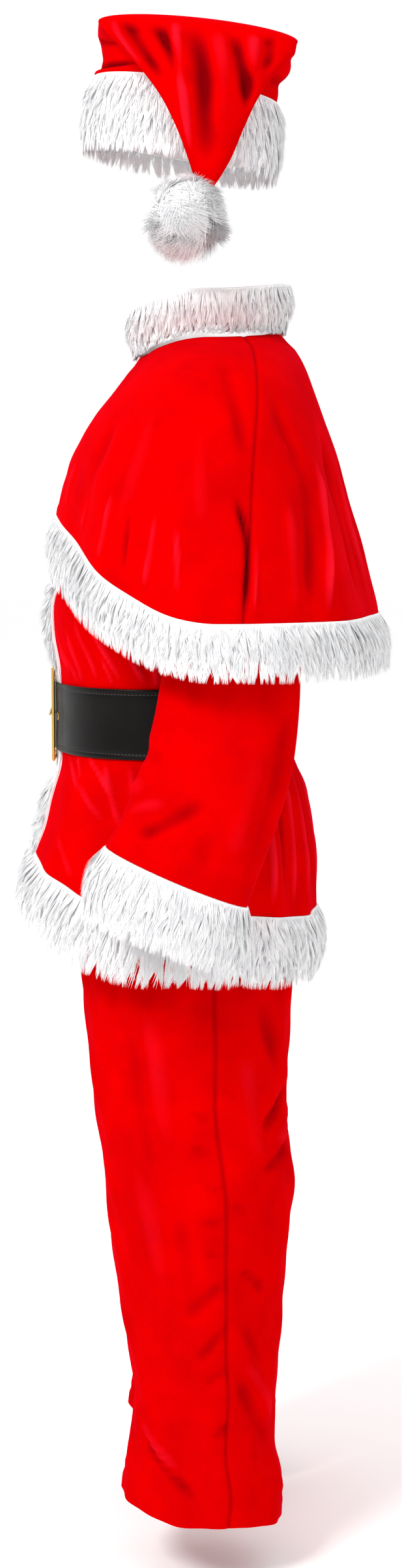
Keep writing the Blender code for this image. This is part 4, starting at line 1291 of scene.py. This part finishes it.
@dataclass
class Coat(FrontedGarment):
    """The belted coat: two fronts, a back, and plush at the hem and down the centre front."""

    form: RingForm = RingForm(COAT_SECTIONS, COAT_FOLDS)
    name: str = "coat"
    front_step: float = 0.8
    back_step: float = 1.4

    def side_angle(self, height: float) -> float:
        """Where the fronts and the back end at that height: at the side seam or the armhole."""
        share = (height - ARMHOLE_MIDDLE) / ARMHOLE_HALF_HEIGHT
        if abs(share) < 1:
            return max(ARMHOLE_HALF_ANGLE * math.sqrt(1 - share * share), 0.05)
        return 0.05

    def front_columns(self, height: float) -> Array:
        """Angles across the left front."""
        return np.linspace(-89.95, -self.side_angle(height), int(90 / self.front_step))

    def back_columns(self, height: float) -> Array:
        """Angles across the back."""
        edge = self.side_angle(height)
        return np.linspace(edge, 180 - edge, int(180 / self.back_step))

    def heights(self) -> Array:
        """The rows from the hem seam to the neck, closer together at the armhole's ends."""
        low, high = ARMHOLE_MIDDLE - ARMHOLE_HALF_HEIGHT, ARMHOLE_MIDDLE + ARMHOLE_HALF_HEIGHT
        hole = ARMHOLE_MIDDLE - ARMHOLE_HALF_HEIGHT * np.cos(np.linspace(0, math.pi, 25))
        below, above = steps(COAT_HEM_SEAM, low, CLOTH_STEP), steps(high, COAT_TOP, 0.008)
        return np.concatenate([below[:-1], hole, above[1:]])

    def trim_heights(self) -> Array:
        """The rows of the hem trim, from the tips of its pile to its seam."""
        return steps(COAT_HEM_SEAM - COAT_TRIM_DEPTH, COAT_HEM_SEAM - LAYER_GAP, 0.006)

    def build(self) -> None:
        """Makes the coat's pieces."""
        fronts, back = ClothCut(0.38, 0.80, 0.20), ClothCut(0.66, 0.80, 0.42)
        self.build_walls(self.heights(), both_sides(COAT_CREASES, 4.0), fronts, back, "cape_back")
        hem_side, hem_back = ClothCut(0.34, 0.07, 0.021), ClothCut(0.70, 0.07, 0.045)
        self.build_hem(self.trim_heights(), Plush(), hem_side, hem_back)
        self.build_front_trims()

    def build_front_trims(self) -> None:
        """Makes the plush strips down the centre front, pressed flat behind the belt."""
        heights = steps(COAT_HEM_SEAM, 1.54, CLOTH_STEP)
        half = np.linspace(-89.95, BAND_END_ANGLE, 12)
        plush = Plush(length=0.026, stand=0.014, hang=0.0, backing=0.003, side_fan=0.006, ridge=1.2)
        for node, columns in (
            ("coat_front_trim_left", half),
            ("coat_front_trim_right", 180 - half[::-1]),
        ):
            sheet = self.form.sheet(heights, lambda height: columns).lifted(LAYER_GAP)
            self.tailor.trim(
                node, sheet, plush, ClothCut(0.06, 0.66, 0.038), ["coat_front_left"], self.stand_at
            )

    def stand_at(self, heights: Array) -> Array:
        """The front strips' pile: pressed behind the belt and short where the cape covers it."""
        low, high = PRESSED_BY_BELT
        off_belt = np.clip(np.maximum(low - heights, heights - high) / PRESS_FADE, 0, 1)
        share = STAND_BEHIND_BELT + (1 - STAND_BEHIND_BELT) * off_belt
        return np.where(heights > UNDER_CAPE, STAND_UNDER_CAPE, share)


CAPE_SEAM_Z = 1.215
CAPE_NECK_Z = 1.554
CAPE_TRIM_DEPTH = 0.065
COLLAR_TOP = 1.612
CAPE_SEAM_ANGLES = (8.0, 28.0)

CAPE_CREASES = (
    Crease(9, 1.365, 16, 1.310, 8, 1.218, 7, -6.5, 0.5),
    Crease(16, 1.31, 14, 1.27, 12, 1.218, 4, 2.6, -0.3),
    Crease(-12, 1.33, -12, 1.275, -13, 1.240, 4, 3.0, 0.4),
    Crease(-19, 1.34, -22, 1.278, -25, 1.230, 4, 3.0, 0.4),
    Crease(-30, 1.35, -31, 1.29, -33, 1.230, 5, -2.6, 0.3),
    Crease(-37, 1.36, -40, 1.281, -43, 1.230, 4, 3.0, 0.4),
    Crease(-52, 1.36, -54, 1.30, -55, 1.240, 5, 2.6, -0.4),
    Crease(-68, 1.40, -70, 1.33, -70, 1.260, 6, 3.0, 0.4),
    Crease(48, 1.42, 46, 1.318, 37, 1.212, 6, 6.5, 0.6),
    Crease(40, 1.40, 38, 1.30, 31, 1.215, 12, -5.0, 0.2),
    Crease(31, 1.38, 29, 1.28, 26, 1.220, 10, 3.0, 0.2),
    Crease(3, 1.525, 14, 1.482, 16, 1.380, 13, -4.5, 0.2),
    Crease(-20, 1.50, -30, 1.38, -36, 1.260, 15, 3.0, 0.2),
    Crease(-44, 1.48, -52, 1.37, -56, 1.250, 15, -4.0, 0.2),
    Crease(-4, 1.46, -2, 1.38, -4, 1.300, 16, 3.0, 0.2),
    Crease(28, 1.50, 38, 1.42, 44, 1.330, 14, -4.0, 0.2),
    Crease(60, 1.47, 64, 1.34, 62, 1.215, 12, -5.5, 0.3),
    Crease(70, 1.43, 73, 1.32, 74, 1.215, 7, 5.0, 0.5),
    Crease(84, 1.46, 86, 1.33, 85, 1.215, 12, -5.0, 0.3),
)


@dataclass
class Cape(FrontedGarment):
    """The shoulder cape: two fronts and a back, with a plush hem and a plush stand collar."""

    form: RingForm = RingForm(CAPE_SECTIONS, CAPE_FOLDS, 0.0016)
    name: str = "cape"

    def seam_angle(self, height: float) -> float:
        """Where the shoulder seam lies at that height."""
        low, high = CAPE_SEAM_ANGLES
        share = min(max((height - CAPE_SEAM_Z) / (CAPE_NECK_Z - CAPE_SEAM_Z), 0.0), 1.0)
        return low + (high - low) * share

    def front_columns(self, height: float) -> Array:
        """Angles across the left front."""
        return np.linspace(-89.97, self.seam_angle(height) - 0.03, 96)

    def back_columns(self, height: float) -> Array:
        """Angles across the back."""
        start = self.seam_angle(height) + 0.03
        return np.linspace(start, 180 - start, 150)

    def collar_columns(self, height: float) -> Array:
        """Angles round the collar, from the centre front and back to it."""
        return np.linspace(-89.9, 269.9, 150)

    def build(self) -> None:
        """Makes the cape's pieces."""
        heights = steps(CAPE_SEAM_Z, CAPE_NECK_Z, CLOTH_STEP)
        fronts, back = ClothCut(0.46, 0.42, 0.14), ClothCut(0.82, 0.42, 0.25)
        self.build_walls(heights, both_sides(CAPE_CREASES, 5.0), fronts, back, "coat_back")
        trim_heights = steps(CAPE_SEAM_Z - CAPE_TRIM_DEPTH, CAPE_SEAM_Z - LAYER_GAP, CLOTH_STEP)
        hem_side, hem_back = ClothCut(0.52, 0.05, 0.024), ClothCut(0.86, 0.05, 0.041)
        self.build_hem(trim_heights, Plush(length=0.030), hem_side, hem_back)
        collar_heights = steps(CAPE_NECK_Z + LAYER_GAP, COLLAR_TOP, CLOTH_STEP)
        collar = self.form.sheet(collar_heights, self.collar_columns)
        plush = Plush(length=0.024, hang=0.005, density=460_000)
        self.tailor.trim("cape_collar", collar, plush, ClothCut(0.62, 0.07, 0.04), ["cape_back"])


FIRST_CUFF_STATION = 10
SLEEVE_CREASES = (
    Crease(132, 9.3, 152, 8.6, 182, 7.5, 9, -5.0, 0.4),
    Crease(108, 8.7, 128, 8.15, 156, 7.9, 9, 3.0, 0.3),
    Crease(240, 5.6, 234, 7.2, 228, 9.0, 18, -5.0, 0.2),
    Crease(205, 6.4, 214, 7.6, 210, 9.2, 16, 3.5, 0.2),
    Crease(196, 9.6, 186, 8.9, 190, 8.0, 12, -3.0, 0.2),
    Crease(70, 6.9, 104, 7.2, 142, 7.0, 13, -3.8, 0.3),
    Crease(66, 8.0, 96, 8.0, 132, 7.6, 14, 3.6, 0.3),
    Crease(262, 5.0, 240, 5.5, 212, 5.2, 12, -4.0, 0.3),
    Crease(150, 3.2, 176, 4.0, 184, 5.2, 18, 3.0, 0.2),
    Crease(60, 6.0, 30, 6.6, -10, 6.4, 12, -4.0, 0.3),
    Crease(50, 7.4, 20, 7.8, -20, 7.5, 12, -4.0, 0.3),
    Crease(300, 8.4, 320, 7.6, 350, 7.2, 12, 3.5, 0.3),
)


@dataclass
class Sleeves:
    """The two sleeves and their plush cuffs."""

    tailor: Tailor
    columns: int = 72
    coat: RingForm = RingForm(COAT_SECTIONS, COAT_FOLDS)

    def armhole_ring(self, turns: Array) -> Array:
        """The armhole's edge on the left side, for each turn round the sleeve."""
        heights = ARMHOLE_MIDDLE - ARMHOLE_HALF_HEIGHT * np.cos(np.radians(turns))
        angles = -ARMHOLE_HALF_ANGLE * np.sin(np.radians(turns))
        rows = [
            self.coat.sheet(np.array([height]), lambda _, angle=angle: np.array([angle]))
            for height, angle in zip(heights, angles)
        ]
        return np.array([row.moved_out(LAYER_GAP)[0, 0] for row in rows])

    def build(self) -> None:
        """Makes the sleeves and cuffs."""
        turns = np.linspace(0, 360, self.columns + 1)[:-1]
        rings = hoop_rings(SLEEVE_HOOPS, turns, True)
        rings = np.concatenate([self.armhole_ring(turns)[None], rings])[::-1]
        last = len(rings) - 1
        cuff_top = last - FIRST_CUFF_STATION
        arm = tube_sheet(rings, turns, np.linspace(cuff_top + 0.015, last, 110))
        cuff = tube_sheet(rings, turns, np.linspace(0, cuff_top, 14))
        creases = [
            c._replace(
                start_row=last - c.start_row, bend_row=last - c.bend_row, end_row=last - c.end_row
            )
            for c in SLEEVE_CREASES
        ]
        arm = arm.creased(creases)
        plush = Plush(length=0.032)
        arm_cut, cuff_cut = ClothCut(0.46, 0.66, 0.24), ClothCut(0.42, 0.08, 0.029)
        for side, arm_sheet, cuff_sheet in (
            ("left", arm, cuff),
            ("right", arm.mirrored(), cuff.mirrored()),
        ):
            self.tailor.velvet("sleeve_" + side, arm_sheet, arm_cut, ["coat_back"])
            self.tailor.trim("cuff_trim_" + side, cuff_sheet, plush, cuff_cut, ["sleeve_" + side])


LEG_SEAM_ANGLES = (20.0, 12.0)
LEG_HEM = 0.085
LEG_TOP = 1.050
WAISTBAND_TOP = 1.090
LEG_HEM_STITCH = 0.025
LEG_HEM_STITCH_WIDTH = 0.004

LEG_CREASES = (
    Crease(-60, 0.178, -32, 0.163, -2, 0.110, 8, -4.6, 0.5),
    Crease(-66, 0.200, -40, 0.185, -14, 0.140, 8, 4.5, 0.3),
    Crease(21, 0.285, 36, 0.230, 70, 0.155, 11, -4.2, 0.4),
    Crease(28, 0.300, 50, 0.250, 80, 0.190, 9, 3.5, 0.3),
    Crease(88, 0.632, 62, 0.606, 44, 0.570, 10, -6.0, 0.4),
    Crease(84, 0.556, 62, 0.543, 40, 0.530, 9, -5.0, 0.4),
    Crease(96, 0.600, 76, 0.578, 56, 0.556, 9, 4.0, 0.3),
    Crease(-24, 0.760, -19, 0.657, -14, 0.540, 15, 4.5, 0.2),
    Crease(-34, 0.740, -30, 0.62, -30, 0.500, 16, -4.5, 0.2),
    Crease(-42, 0.640, -34, 0.498, -22, 0.340, 15, 3.5, 0.2),
    Crease(-16, 0.500, -10, 0.43, -4, 0.340, 14, -3.5, 0.2),
    Crease(-14, 0.350, 4, 0.372, 18, 0.405, 9, -3.4, 0.4),
    Crease(-10, 0.292, 8, 0.314, 20, 0.348, 8, -3.2, 0.4),
    Crease(-2, 0.266, 10, 0.276, 19, 0.290, 7, -2.4, 0.3),
    Crease(4, 0.196, 14, 0.205, 21, 0.216, 7, -2.4, 0.3),
    Crease(26, 0.345, 38, 0.315, 52, 0.270, 9, -2.8, 0.4),
    Crease(24, 0.410, 36, 0.400, 50, 0.370, 7, -3.0, 0.3),
    Crease(40, 0.760, 50, 0.690, 66, 0.640, 13, -5.5, 0.3),
    Crease(30, 0.700, 38, 0.62, 44, 0.520, 14, 3.5, 0.2),
    Crease(-2, 0.614, 6, 0.606, 13, 0.598, 8, -2.2, 0.3),
    Crease(-4, 0.570, 5, 0.560, 13, 0.556, 8, -2.4, 0.3),
    Crease(1, 0.524, 8, 0.517, 14, 0.510, 7, -1.8, 0.3),
    Crease(-4, 0.480, 7, 0.470, 15, 0.468, 8, -2.4, 0.3),
    Crease(1, 0.439, 9, 0.430, 15, 0.427, 7, -1.8, 0.3),
    Crease(17, 0.640, 24, 0.634, 31, 0.620, 8, -2.0, 0.3),
    Crease(17, 0.495, 25, 0.486, 33, 0.478, 8, -2.0, 0.3),
    Crease(116, 0.740, 128, 0.690, 150, 0.660, 12, -4.5, 0.3),
    Crease(104, 0.500, 124, 0.470, 150, 0.490, 11, -4.5, 0.3),
    Crease(100, 0.250, 124, 0.200, 150, 0.160, 10, -4.5, 0.3),
    Crease(-104, 0.720, -120, 0.680, -145, 0.660, 12, -4.5, 0.3),
    Crease(-100, 0.420, -122, 0.380, -150, 0.370, 12, -4.0, 0.3),
    Crease(-84, 0.250, -106, 0.220, -136, 0.170, 16, -2.0, 0.3),
)


def other_leg(creases: Sequence[Crease]) -> tuple[Crease, ...]:
    """Like creases for the right leg, which is the left one mirrored, each a little different."""
    return tuple(
        crease._replace(
            start_angle=crease.start_angle + 5 * math.sin(2.3 * number),
            start_row=crease.start_row + 0.012 * math.sin(1.9 * number + 1),
            end_row=crease.end_row - 0.010 * math.sin(1.3 * number),
            depth=crease.depth * (1 + 0.25 * math.cos(2.7 * number)),
        )
        for number, crease in enumerate(creases)
    )


@dataclass
class Trousers:
    """The trousers: a front and a back panel on each leg, and the waistband under the coat."""

    tailor: Tailor
    form: RingForm = RingForm(LEG_SECTIONS, (), 0.003)

    def seam_angle(self, height: float) -> float:
        """Where the side seam lies at that height."""
        low, high = LEG_SEAM_ANGLES
        return low + (high - low) * height / WAISTBAND_TOP

    def cut_angle(self, height: float) -> float:
        """Where a leg's ring meets the middle plane, or its inseam."""
        row = self.form.section_rows(np.array([height]))[0]
        reach = (SEAM_GAP / 2 - row[6]) / row[3]
        return min(179.9, math.degrees(math.acos(max(reach, -1.0))))

    def front_columns(self, height: float) -> Array:
        """Angles across the left front panel."""
        return np.linspace(-self.cut_angle(height), self.seam_angle(height) - 0.02, 66)

    def back_columns(self, height: float) -> Array:
        """Angles across the left back panel."""
        return np.linspace(self.seam_angle(height) + 0.02, self.cut_angle(height), 60)

    def hemmed(self, sheet: Sheet) -> Sheet:
        """The sheet with the hem's stitch line drawn in."""
        off_line = (sheet.up - sheet.up[0] - LEG_HEM_STITCH) / LEG_HEM_STITCH_WIDTH
        return sheet.lifted(-SEAM_DIP * np.exp(-(off_line**2))[:, None])

    def build(self) -> None:
        """Makes the trousers' pieces."""
        heights = steps(LEG_HEM, LEG_TOP, 0.0085)
        for panel, columns, cut in (
            ("front", self.front_columns, ClothCut(0.40, 1.02, 0.36)),
            ("back", self.back_columns, ClothCut(0.36, 1.04, 0.30)),
        ):
            plain = self.form.sheet(heights, columns)
            left = self.hemmed(plain.creased(LEG_CREASES).seamed())
            right = self.hemmed(plain.creased(other_leg(LEG_CREASES)).seamed()).mirrored()
            for side, sheet in (("left", left), ("right", right)):
                node = "trousers_" + panel + "_" + side
                self.tailor.velvet(node, sheet, cut, ["trousers_waistband"])
        ring = np.linspace(-90, 270, 97)[:-1]
        band = self.form.sheet(steps(LEG_TOP + LAYER_GAP, WAISTBAND_TOP, 0.01), lambda height: ring)
        band.closed = True
        self.tailor.velvet("trousers_waistband", band, ClothCut(1.02, 0.042, 0.042), ["coat_back"])


HAT_CREASES = (
    Crease(222, 8.3, 231, 9.3, 238, 10.8, 8, -6.5, 0.5),
    Crease(236, 8.3, 246, 9.2, 256, 10.4, 6, 4.0, 0.4),
    Crease(203, 8.4, 206, 9.6, 206, 11.0, 7, -7.0, 0.5),
    Crease(193, 8.2, 196, 10.0, 240, 13.2, 4, 5.5, 0.6),
    Crease(184, 8.3, 178, 10.4, 198, 13.8, 9, -8.5, 0.4),
    Crease(170, 8.4, 168, 10.2, 178, 12.6, 9, 4.0, 0.3),
    Crease(160, 8.6, 158, 10.2, 112, 11.6, 7, -8.5, 0.6),
    Crease(146, 8.4, 148, 9.4, 138, 10.6, 7, 4.5, 0.4),
    Crease(136, 8.4, 132, 9.2, 118, 10.2, 7, -5.0, 0.4),
    Crease(255, 1.5, 292, 1.2, 338, 1.5, 5, -5.0, 0.4),
    Crease(262, 3.6, 288, 3.2, 316, 3.6, 9, -4.0, 0.3),
    Crease(40, 1.9, 88, 2.1, 140, 1.8, 8, -4.5, 0.4),
    Crease(62, 4.0, 92, 3.6, 120, 4.2, 11, -3.0, 0.3),
    Crease(150, 5.0, 182, 5.6, 216, 5.0, 10, -4.0, 0.2),
)


POMPOM_SEED = 77
POMPOM_ROOTS = 0.97
LOCK_SWAY = 0.15
LOCK_LEAN = (0.7, 1.2)
WISP_LEAN = 0.2
LOCK_GATHER = (0.0, 0.2)
LOCK_LENGTH = (0.4, 1.8)
LOCK_DROOP = 0.006
HAIR_LENGTH = (0.6, 1.1)
BALL_ROWS, BALL_COLUMNS = 12, 24


@dataclass
class Hat:
    """The hat: a velvet cone folded down on the left, a plush band and a pompom."""

    tailor: Tailor
    columns: int = 120
    pompom_middle: tuple[float, float, float] = (0.1335, -0.0187, 1.7003)
    pompom_core: float = 0.038
    pompom_reach: float = 0.050
    pompom_ball: float = 0.034
    pompom_sweep: tuple[float, float, float] = (0.0, -0.1, -0.45)
    pompom_wisps: float = 0.06
    pompom_strands: int = 18000
    pompom_tufts: int = 48

    def build(self) -> None:
        """Makes the hat's pieces."""
        turns = np.linspace(0, 360, self.columns + 1)[:-1]
        band = tube_sheet(hoop_rings(HAT_BAND_HOOPS, turns, False), turns, np.linspace(0, 2, 17))
        plush = Plush(length=0.028, hang=0.018, density=430_000)
        self.tailor.trim("hat_band", band, plush, ClothCut(0.64, 0.09, 0.054), ["hat_crown"])
        rings = hoop_rings(HAT_HOOPS, turns, False)
        crown = tube_sheet(rings, turns, np.linspace(0, len(rings) - 1, 130)).creased(HAT_CREASES)
        self.tailor.velvet("hat_crown", crown, ClothCut(0.66, 0.42, 0.145), ["hat_band"], capped=True)
        self.build_pompom()

    def build_pompom(self) -> None:
        """Makes the pompom: a plush core, and tufts that stand out and droop a little."""
        chance = np.random.default_rng(POMPOM_SEED)
        ways = unit(chance.normal(size=(self.pompom_strands, 3)))
        tufts = unit(chance.normal(size=(self.pompom_tufts, 3)))
        nearest = np.argmax(ways @ tufts.T, axis=1)
        flow = unit(chance.normal(size=tufts.shape)) + np.array(self.pompom_sweep)
        flow = flow[nearest] + chance.normal(0, LOCK_SWAY, ways.shape)
        flow -= ways * np.sum(flow * ways, axis=1, keepdims=True)
        lean = chance.uniform(*LOCK_LEAN, (len(ways), 1))
        lean = np.where(chance.uniform(size=lean.shape) < self.pompom_wisps, WISP_LEAN, lean)
        gather = chance.uniform(*LOCK_GATHER, (len(ways), 1))
        heading = unit(ways * (1 - gather) + tufts[nearest] * gather + flow * lean)
        long = chance.uniform(*LOCK_LENGTH, self.pompom_tufts)[nearest]
        long = (long * chance.uniform(*HAIR_LENGTH, len(ways)))[:, None]
        rise = self.pompom_reach - self.pompom_core
        middle = np.array(self.pompom_middle)
        droop = np.array([0.0, 0.0, -LOCK_DROOP]) * long
        root = middle + ways * self.pompom_core * POMPOM_ROOTS
        tip = middle + heading * (self.pompom_core + rise * long) + droop
        points, triangles, shading = Plush().strands(root, tip, ways, unit(tip - middle), chance)
        core_points, core_faces = self.core_ball(middle)
        piece = mesh_piece(
            "hat_pompom_plush",
            np.concatenate([core_points, points]),
            [core_faces, triangles + len(core_points)],
            self.tailor.finishes.plush,
            np.concatenate([unit(core_points - middle), shading]),
        )
        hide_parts("hat_pompom")

    def core_ball(self, middle: Array) -> tuple[Array, Array]:
        """The pompom's core as a ball of triangles."""
        columns = BALL_COLUMNS
        lat = np.linspace(-math.pi / 2, math.pi / 2, BALL_ROWS)[1:-1]
        lon = np.linspace(0, 2 * math.pi, columns, endpoint=False)
        ring = np.stack(
            [
                np.cos(lat)[:, None] * np.cos(lon),
                np.cos(lat)[:, None] * np.sin(lon),
                np.repeat(np.sin(lat)[:, None], columns, axis=1),
            ],
            axis=-1,
        )
        poles = np.array([[0, 0, -1.0], [0, 0, 1.0]])
        points = middle + np.concatenate([ring.reshape(-1, 3), poles]) * self.pompom_ball
        grid = np.arange(len(lat) * columns).reshape(len(lat), columns)
        grid = np.concatenate([grid, grid[:, :1]], axis=1)
        low, high = len(lat) * columns, len(lat) * columns + 1
        a, b, c, d = grid[:-1, :-1], grid[:-1, 1:], grid[1:, 1:], grid[1:, :-1]
        faces = [np.stack([a, b, c], -1).reshape(-1, 3), np.stack([a, c, d], -1).reshape(-1, 3)]
        faces.append(np.stack([grid[0, 1:], grid[0, :-1], np.full(columns, low)], -1))
        faces.append(np.stack([grid[-1, :-1], grid[-1, 1:], np.full(columns, high)], -1))
        return points, np.concatenate(faces)


class StrapStation(NamedTuple):
    """An angle round the waist, and the strap's lift there over a single layer, in metres."""

    angle: float
    lift: float


STRAP_STATIONS = (
    StrapStation(-131.0, 0.0034),
    StrapStation(-128.5, 0.0034),
    StrapStation(-110.0, 0.0038),
    StrapStation(-102.5, 0.0104),
    StrapStation(-99.0, 0.0096),
    StrapStation(-90.0, 0.0045),
    StrapStation(-84.0, 0.0015),
    StrapStation(-80.8, 0.0),
    StrapStation(262.0, 0.0),
)
BELT_LOW, BELT_HIGH = 1.042, 1.128
PRESSED_PILE = 0.003
TRIM_EDGE_ANGLES = (12.0, 23.0)
STRAP_EDGE_ROWS = (0, 0.0006, 0.0018, 0.0054, 0.0065, 0.0076)
STRAP_MIDDLE_INSET = 0.012
ROUNDING_DEPTH, ROUNDING_WIDTH = 0.0009, 0.0008
GROOVE_DEPTH, GROOVE_WIDTH = 0.0006, 0.0009
CROWN_HEIGHT, CROWN_INSET, CROWN_WIDTH = 0.0004, 0.008, 0.01


@dataclass
class Belt:
    """The belt: a stitched leatherette strap, its eyelet, and a gilt frame with a prong."""

    finishes: Finishes
    form: RingForm = RingForm(COAT_SECTIONS, COAT_FOLDS, 0.0)
    stitch_inset: float = 0.0065
    stitch_length: float = 0.0032
    stitch_gap: float = 0.0016
    stitch_thread: float = 0.0005

    def strap_lift(self, angles: Array) -> Array:
        """How far the strap's inner face lies over the coat at each angle."""
        off_front = np.abs((angles + 270) % 360 - 180)
        over_trim = np.interp(off_front, TRIM_EDGE_ANGLES, [PRESSED_PILE + LAYER_GAP, 0.0])
        stations = np.array(STRAP_STATIONS)
        return np.interp(angles, stations[:, 0], stations[:, 1]) + over_trim + LAYER_GAP

    def strap_sheet(self) -> Sheet:
        """The strap's outer face, over the coat's own form."""
        edge, inset = np.array(STRAP_EDGE_ROWS), STRAP_MIDDLE_INSET
        middle = np.linspace(BELT_LOW + inset, BELT_HIGH - inset, 12)
        rows = np.concatenate([BELT_LOW + edge, middle, BELT_HIGH - edge[::-1]])
        angles = np.linspace(STRAP_STATIONS[0].angle, STRAP_STATIONS[-1].angle, 330)
        return self.form.sheet(rows, lambda height: angles)

    def build(self) -> None:
        """Makes the strap and its stitching, and dresses the metal."""
        sheet = self.strap_sheet()
        lift = self.strap_lift(sheet.angles[0])[None, :]
        edge = np.minimum(sheet.rows - BELT_LOW, BELT_HIGH - sheet.rows)
        rounding = -ROUNDING_DEPTH * np.exp(-((edge / ROUNDING_WIDTH) ** 2))
        groove = -GROOVE_DEPTH * np.exp(-(((edge - self.stitch_inset) / GROOVE_WIDTH) ** 2))
        crown = CROWN_HEIGHT * np.clip((edge - CROWN_INSET) / CROWN_WIDTH, 0, 1)
        relief = (rounding + groove + crown)[:, None]
        outer = sheet.moved_out(lift + LEATHER + relief)
        inner = sheet.moved_out(lift - rounding[:, None])
        strap = wall_piece(
            "belt_strap_leatherette", outer, inner, self.finishes.leatherette
        )
        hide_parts("belt_strap")
        self.build_stitching(sheet, lift + LEATHER)
        for node in ("belt_eyelet", "buckle_frame", "buckle_prong"):
            metal = bpy.data.objects[node]
            metal.data.materials.clear()
            metal.data.materials.append(self.finishes.gilt)

    def build_stitching(self, sheet: Sheet, lift: Array) -> None:
        """Makes the raised stitches along both edges of the strap.

        Args:
            sheet: the strap's place on the coat.
            lift: how far the strap's outer face stands out of it.
        """
        face = sheet.moved_out(lift)
        reach = path_length(face[0])
        pitch = self.stitch_length + self.stitch_gap
        starts = np.arange(self.stitch_gap, reach[-1] - self.stitch_length, pitch)
        points, faces = [], []
        for height in (BELT_LOW + self.stitch_inset, BELT_HIGH - self.stitch_inset):
            row = int(np.argmin(np.abs(sheet.rows - height)))
            across = np.array([0.0, 0.0, self.stitch_thread])
            for start in starts:
                ends = []
                for place in (start, start + self.stitch_length):
                    spot = np.array([np.interp(place, reach, face[row, :, k]) for k in range(3)])
                    out = np.array([np.interp(place, reach, sheet.normals[row, :, k]) for k in range(3)])
                    ends += [spot - across, spot + out * self.stitch_thread, spot + across]
                first = len(points)
                points += ends
                faces += [
                    (first, first + 3, first + 4, first + 1),
                    (first + 1, first + 4, first + 5, first + 2),
                ]
        piece = mesh_piece(
            "belt_strap_stitching",
            np.array(points),
            [np.array(faces)],
            self.finishes.thread,
        )
        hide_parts("belt_strap")


class Lamp(NamedTuple):
    """A round area light: its name, place, size in metres and power in watts."""

    name: str
    place: tuple[float, float, float]
    size: float
    power: float


LAMPS = (
    Lamp("key", (2.8, -2.4, 2.5), 1.5, 160.0),
    Lamp("fill", (2.8, 2.4, 0.2), 2.0, 27.0),
)
LAMPS_AIM = (0.0, 0.0, -0.4)
FLOOR_SIZE = 60


@dataclass
class Studio:
    """A plain pale floor, soft light and the camera at the photograph's angle."""

    camera_distance: float = 3.0
    camera_height: float = 1.35
    tilt_degrees: float = 6.85
    focal_pixels: float = 3575.0
    photo_height_pixels: float = 2404.0
    sensor_mm: float = 36.0
    backdrop_strength: float = 1.02
    room_strength: float = 0.36
    ceiling_strength: float = 0.75

    def build(self) -> None:
        """Makes the floor, the lights and the camera."""
        self.build_floor()
        self.build_lights()
        self.build_camera()

    def build_floor(self) -> None:
        """A wide matt floor under the suit."""
        bpy.ops.mesh.primitive_plane_add(size=FLOOR_SIZE, location=(0, 0, -NECK_TO_FLOOR))
        floor = bpy.context.object
        floor.name = "studio_floor"
        values = {"Base Color": linear("#FAFAFA"), "Roughness": 0.95, "Specular IOR Level": 0.1}
        floor.data.materials.append(Finish("matt studio floor", values).material)

    def build_lights(self) -> None:
        """A surround that is brightest behind the suit, a large key light and a softer fill."""
        world = bpy.data.worlds.new("studio")
        bpy.context.scene.world = world
        world.use_nodes = True
        tree = world.node_tree
        way = add_node(tree, "ShaderNodeTexCoord").outputs["Generated"]
        split = add_node(tree, "ShaderNodeSeparateXYZ", {}, {0: way})
        strength = add_node(
            tree,
            "ShaderNodeMapRange",
            {
                "From Min": -0.9,
                "From Max": 0.4,
                "To Min": self.backdrop_strength,
                "To Max": self.room_strength,
            },
            {"Value": split.outputs["X"]},
            interpolation_type="SMOOTHSTEP",
        )
        ceiling = add_node(
            tree,
            "ShaderNodeMapRange",
            {"From Min": 0.35, "From Max": 0.9, "To Max": self.ceiling_strength},
            {"Value": split.outputs["Z"]},
            interpolation_type="SMOOTHSTEP",
        )
        total = add_node(
            tree, "ShaderNodeMath", {}, {0: strength.outputs[0], 1: ceiling.outputs[0]}, operation="ADD"
        )
        tree.links.new(total.outputs[0], tree.nodes["Background"].inputs["Strength"])
        tree.nodes["Background"].inputs["Color"].default_value = linear("#FFFFFF")
        for name, place, size, power in LAMPS:
            light = bpy.data.lights.new(name, "AREA")
            light.shape = "DISK"
            light.size = size
            light.energy = power
            lamp = bpy.data.objects.new(name, light)
            lamp.location = place
            aim = Vector(LAMPS_AIM) - Vector(place)
            lamp.rotation_euler = aim.to_track_quat("-Z", "Y").to_euler()
            bpy.context.scene.collection.objects.link(lamp)

    def build_camera(self) -> None:
        """The camera on the suit's left, level with its chest and tilted down."""
        data = bpy.data.cameras.new("camera")
        data.sensor_width = self.sensor_mm
        data.lens = self.focal_pixels * self.sensor_mm / self.photo_height_pixels
        camera = bpy.data.objects.new("camera", data)
        height = self.camera_height - NECK_TO_FLOOR
        camera.location = (self.camera_distance, -NECK_BEHIND_ANKLES, height)
        camera.rotation_euler = (math.radians(90 - self.tilt_degrees), 0, math.radians(90))
        bpy.context.scene.collection.objects.link(camera)
        bpy.context.scene.camera = camera
        bpy.context.scene.view_settings.view_transform = "Standard"


def main() -> None:
    """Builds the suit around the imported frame."""
    logging.basicConfig(level=logging.INFO, format="%(message)s")
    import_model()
    finishes = Finishes()
    tailor = Tailor(finishes)
    for part in (Hat(tailor), Cape(tailor), Coat(tailor), Sleeves(tailor), Trousers(tailor)):
        LOG.info("building the %s", type(part).__name__.lower())
        part.build()
    Belt(finishes).build()
    Studio().build()


if __name__ == "__main__":
    main()
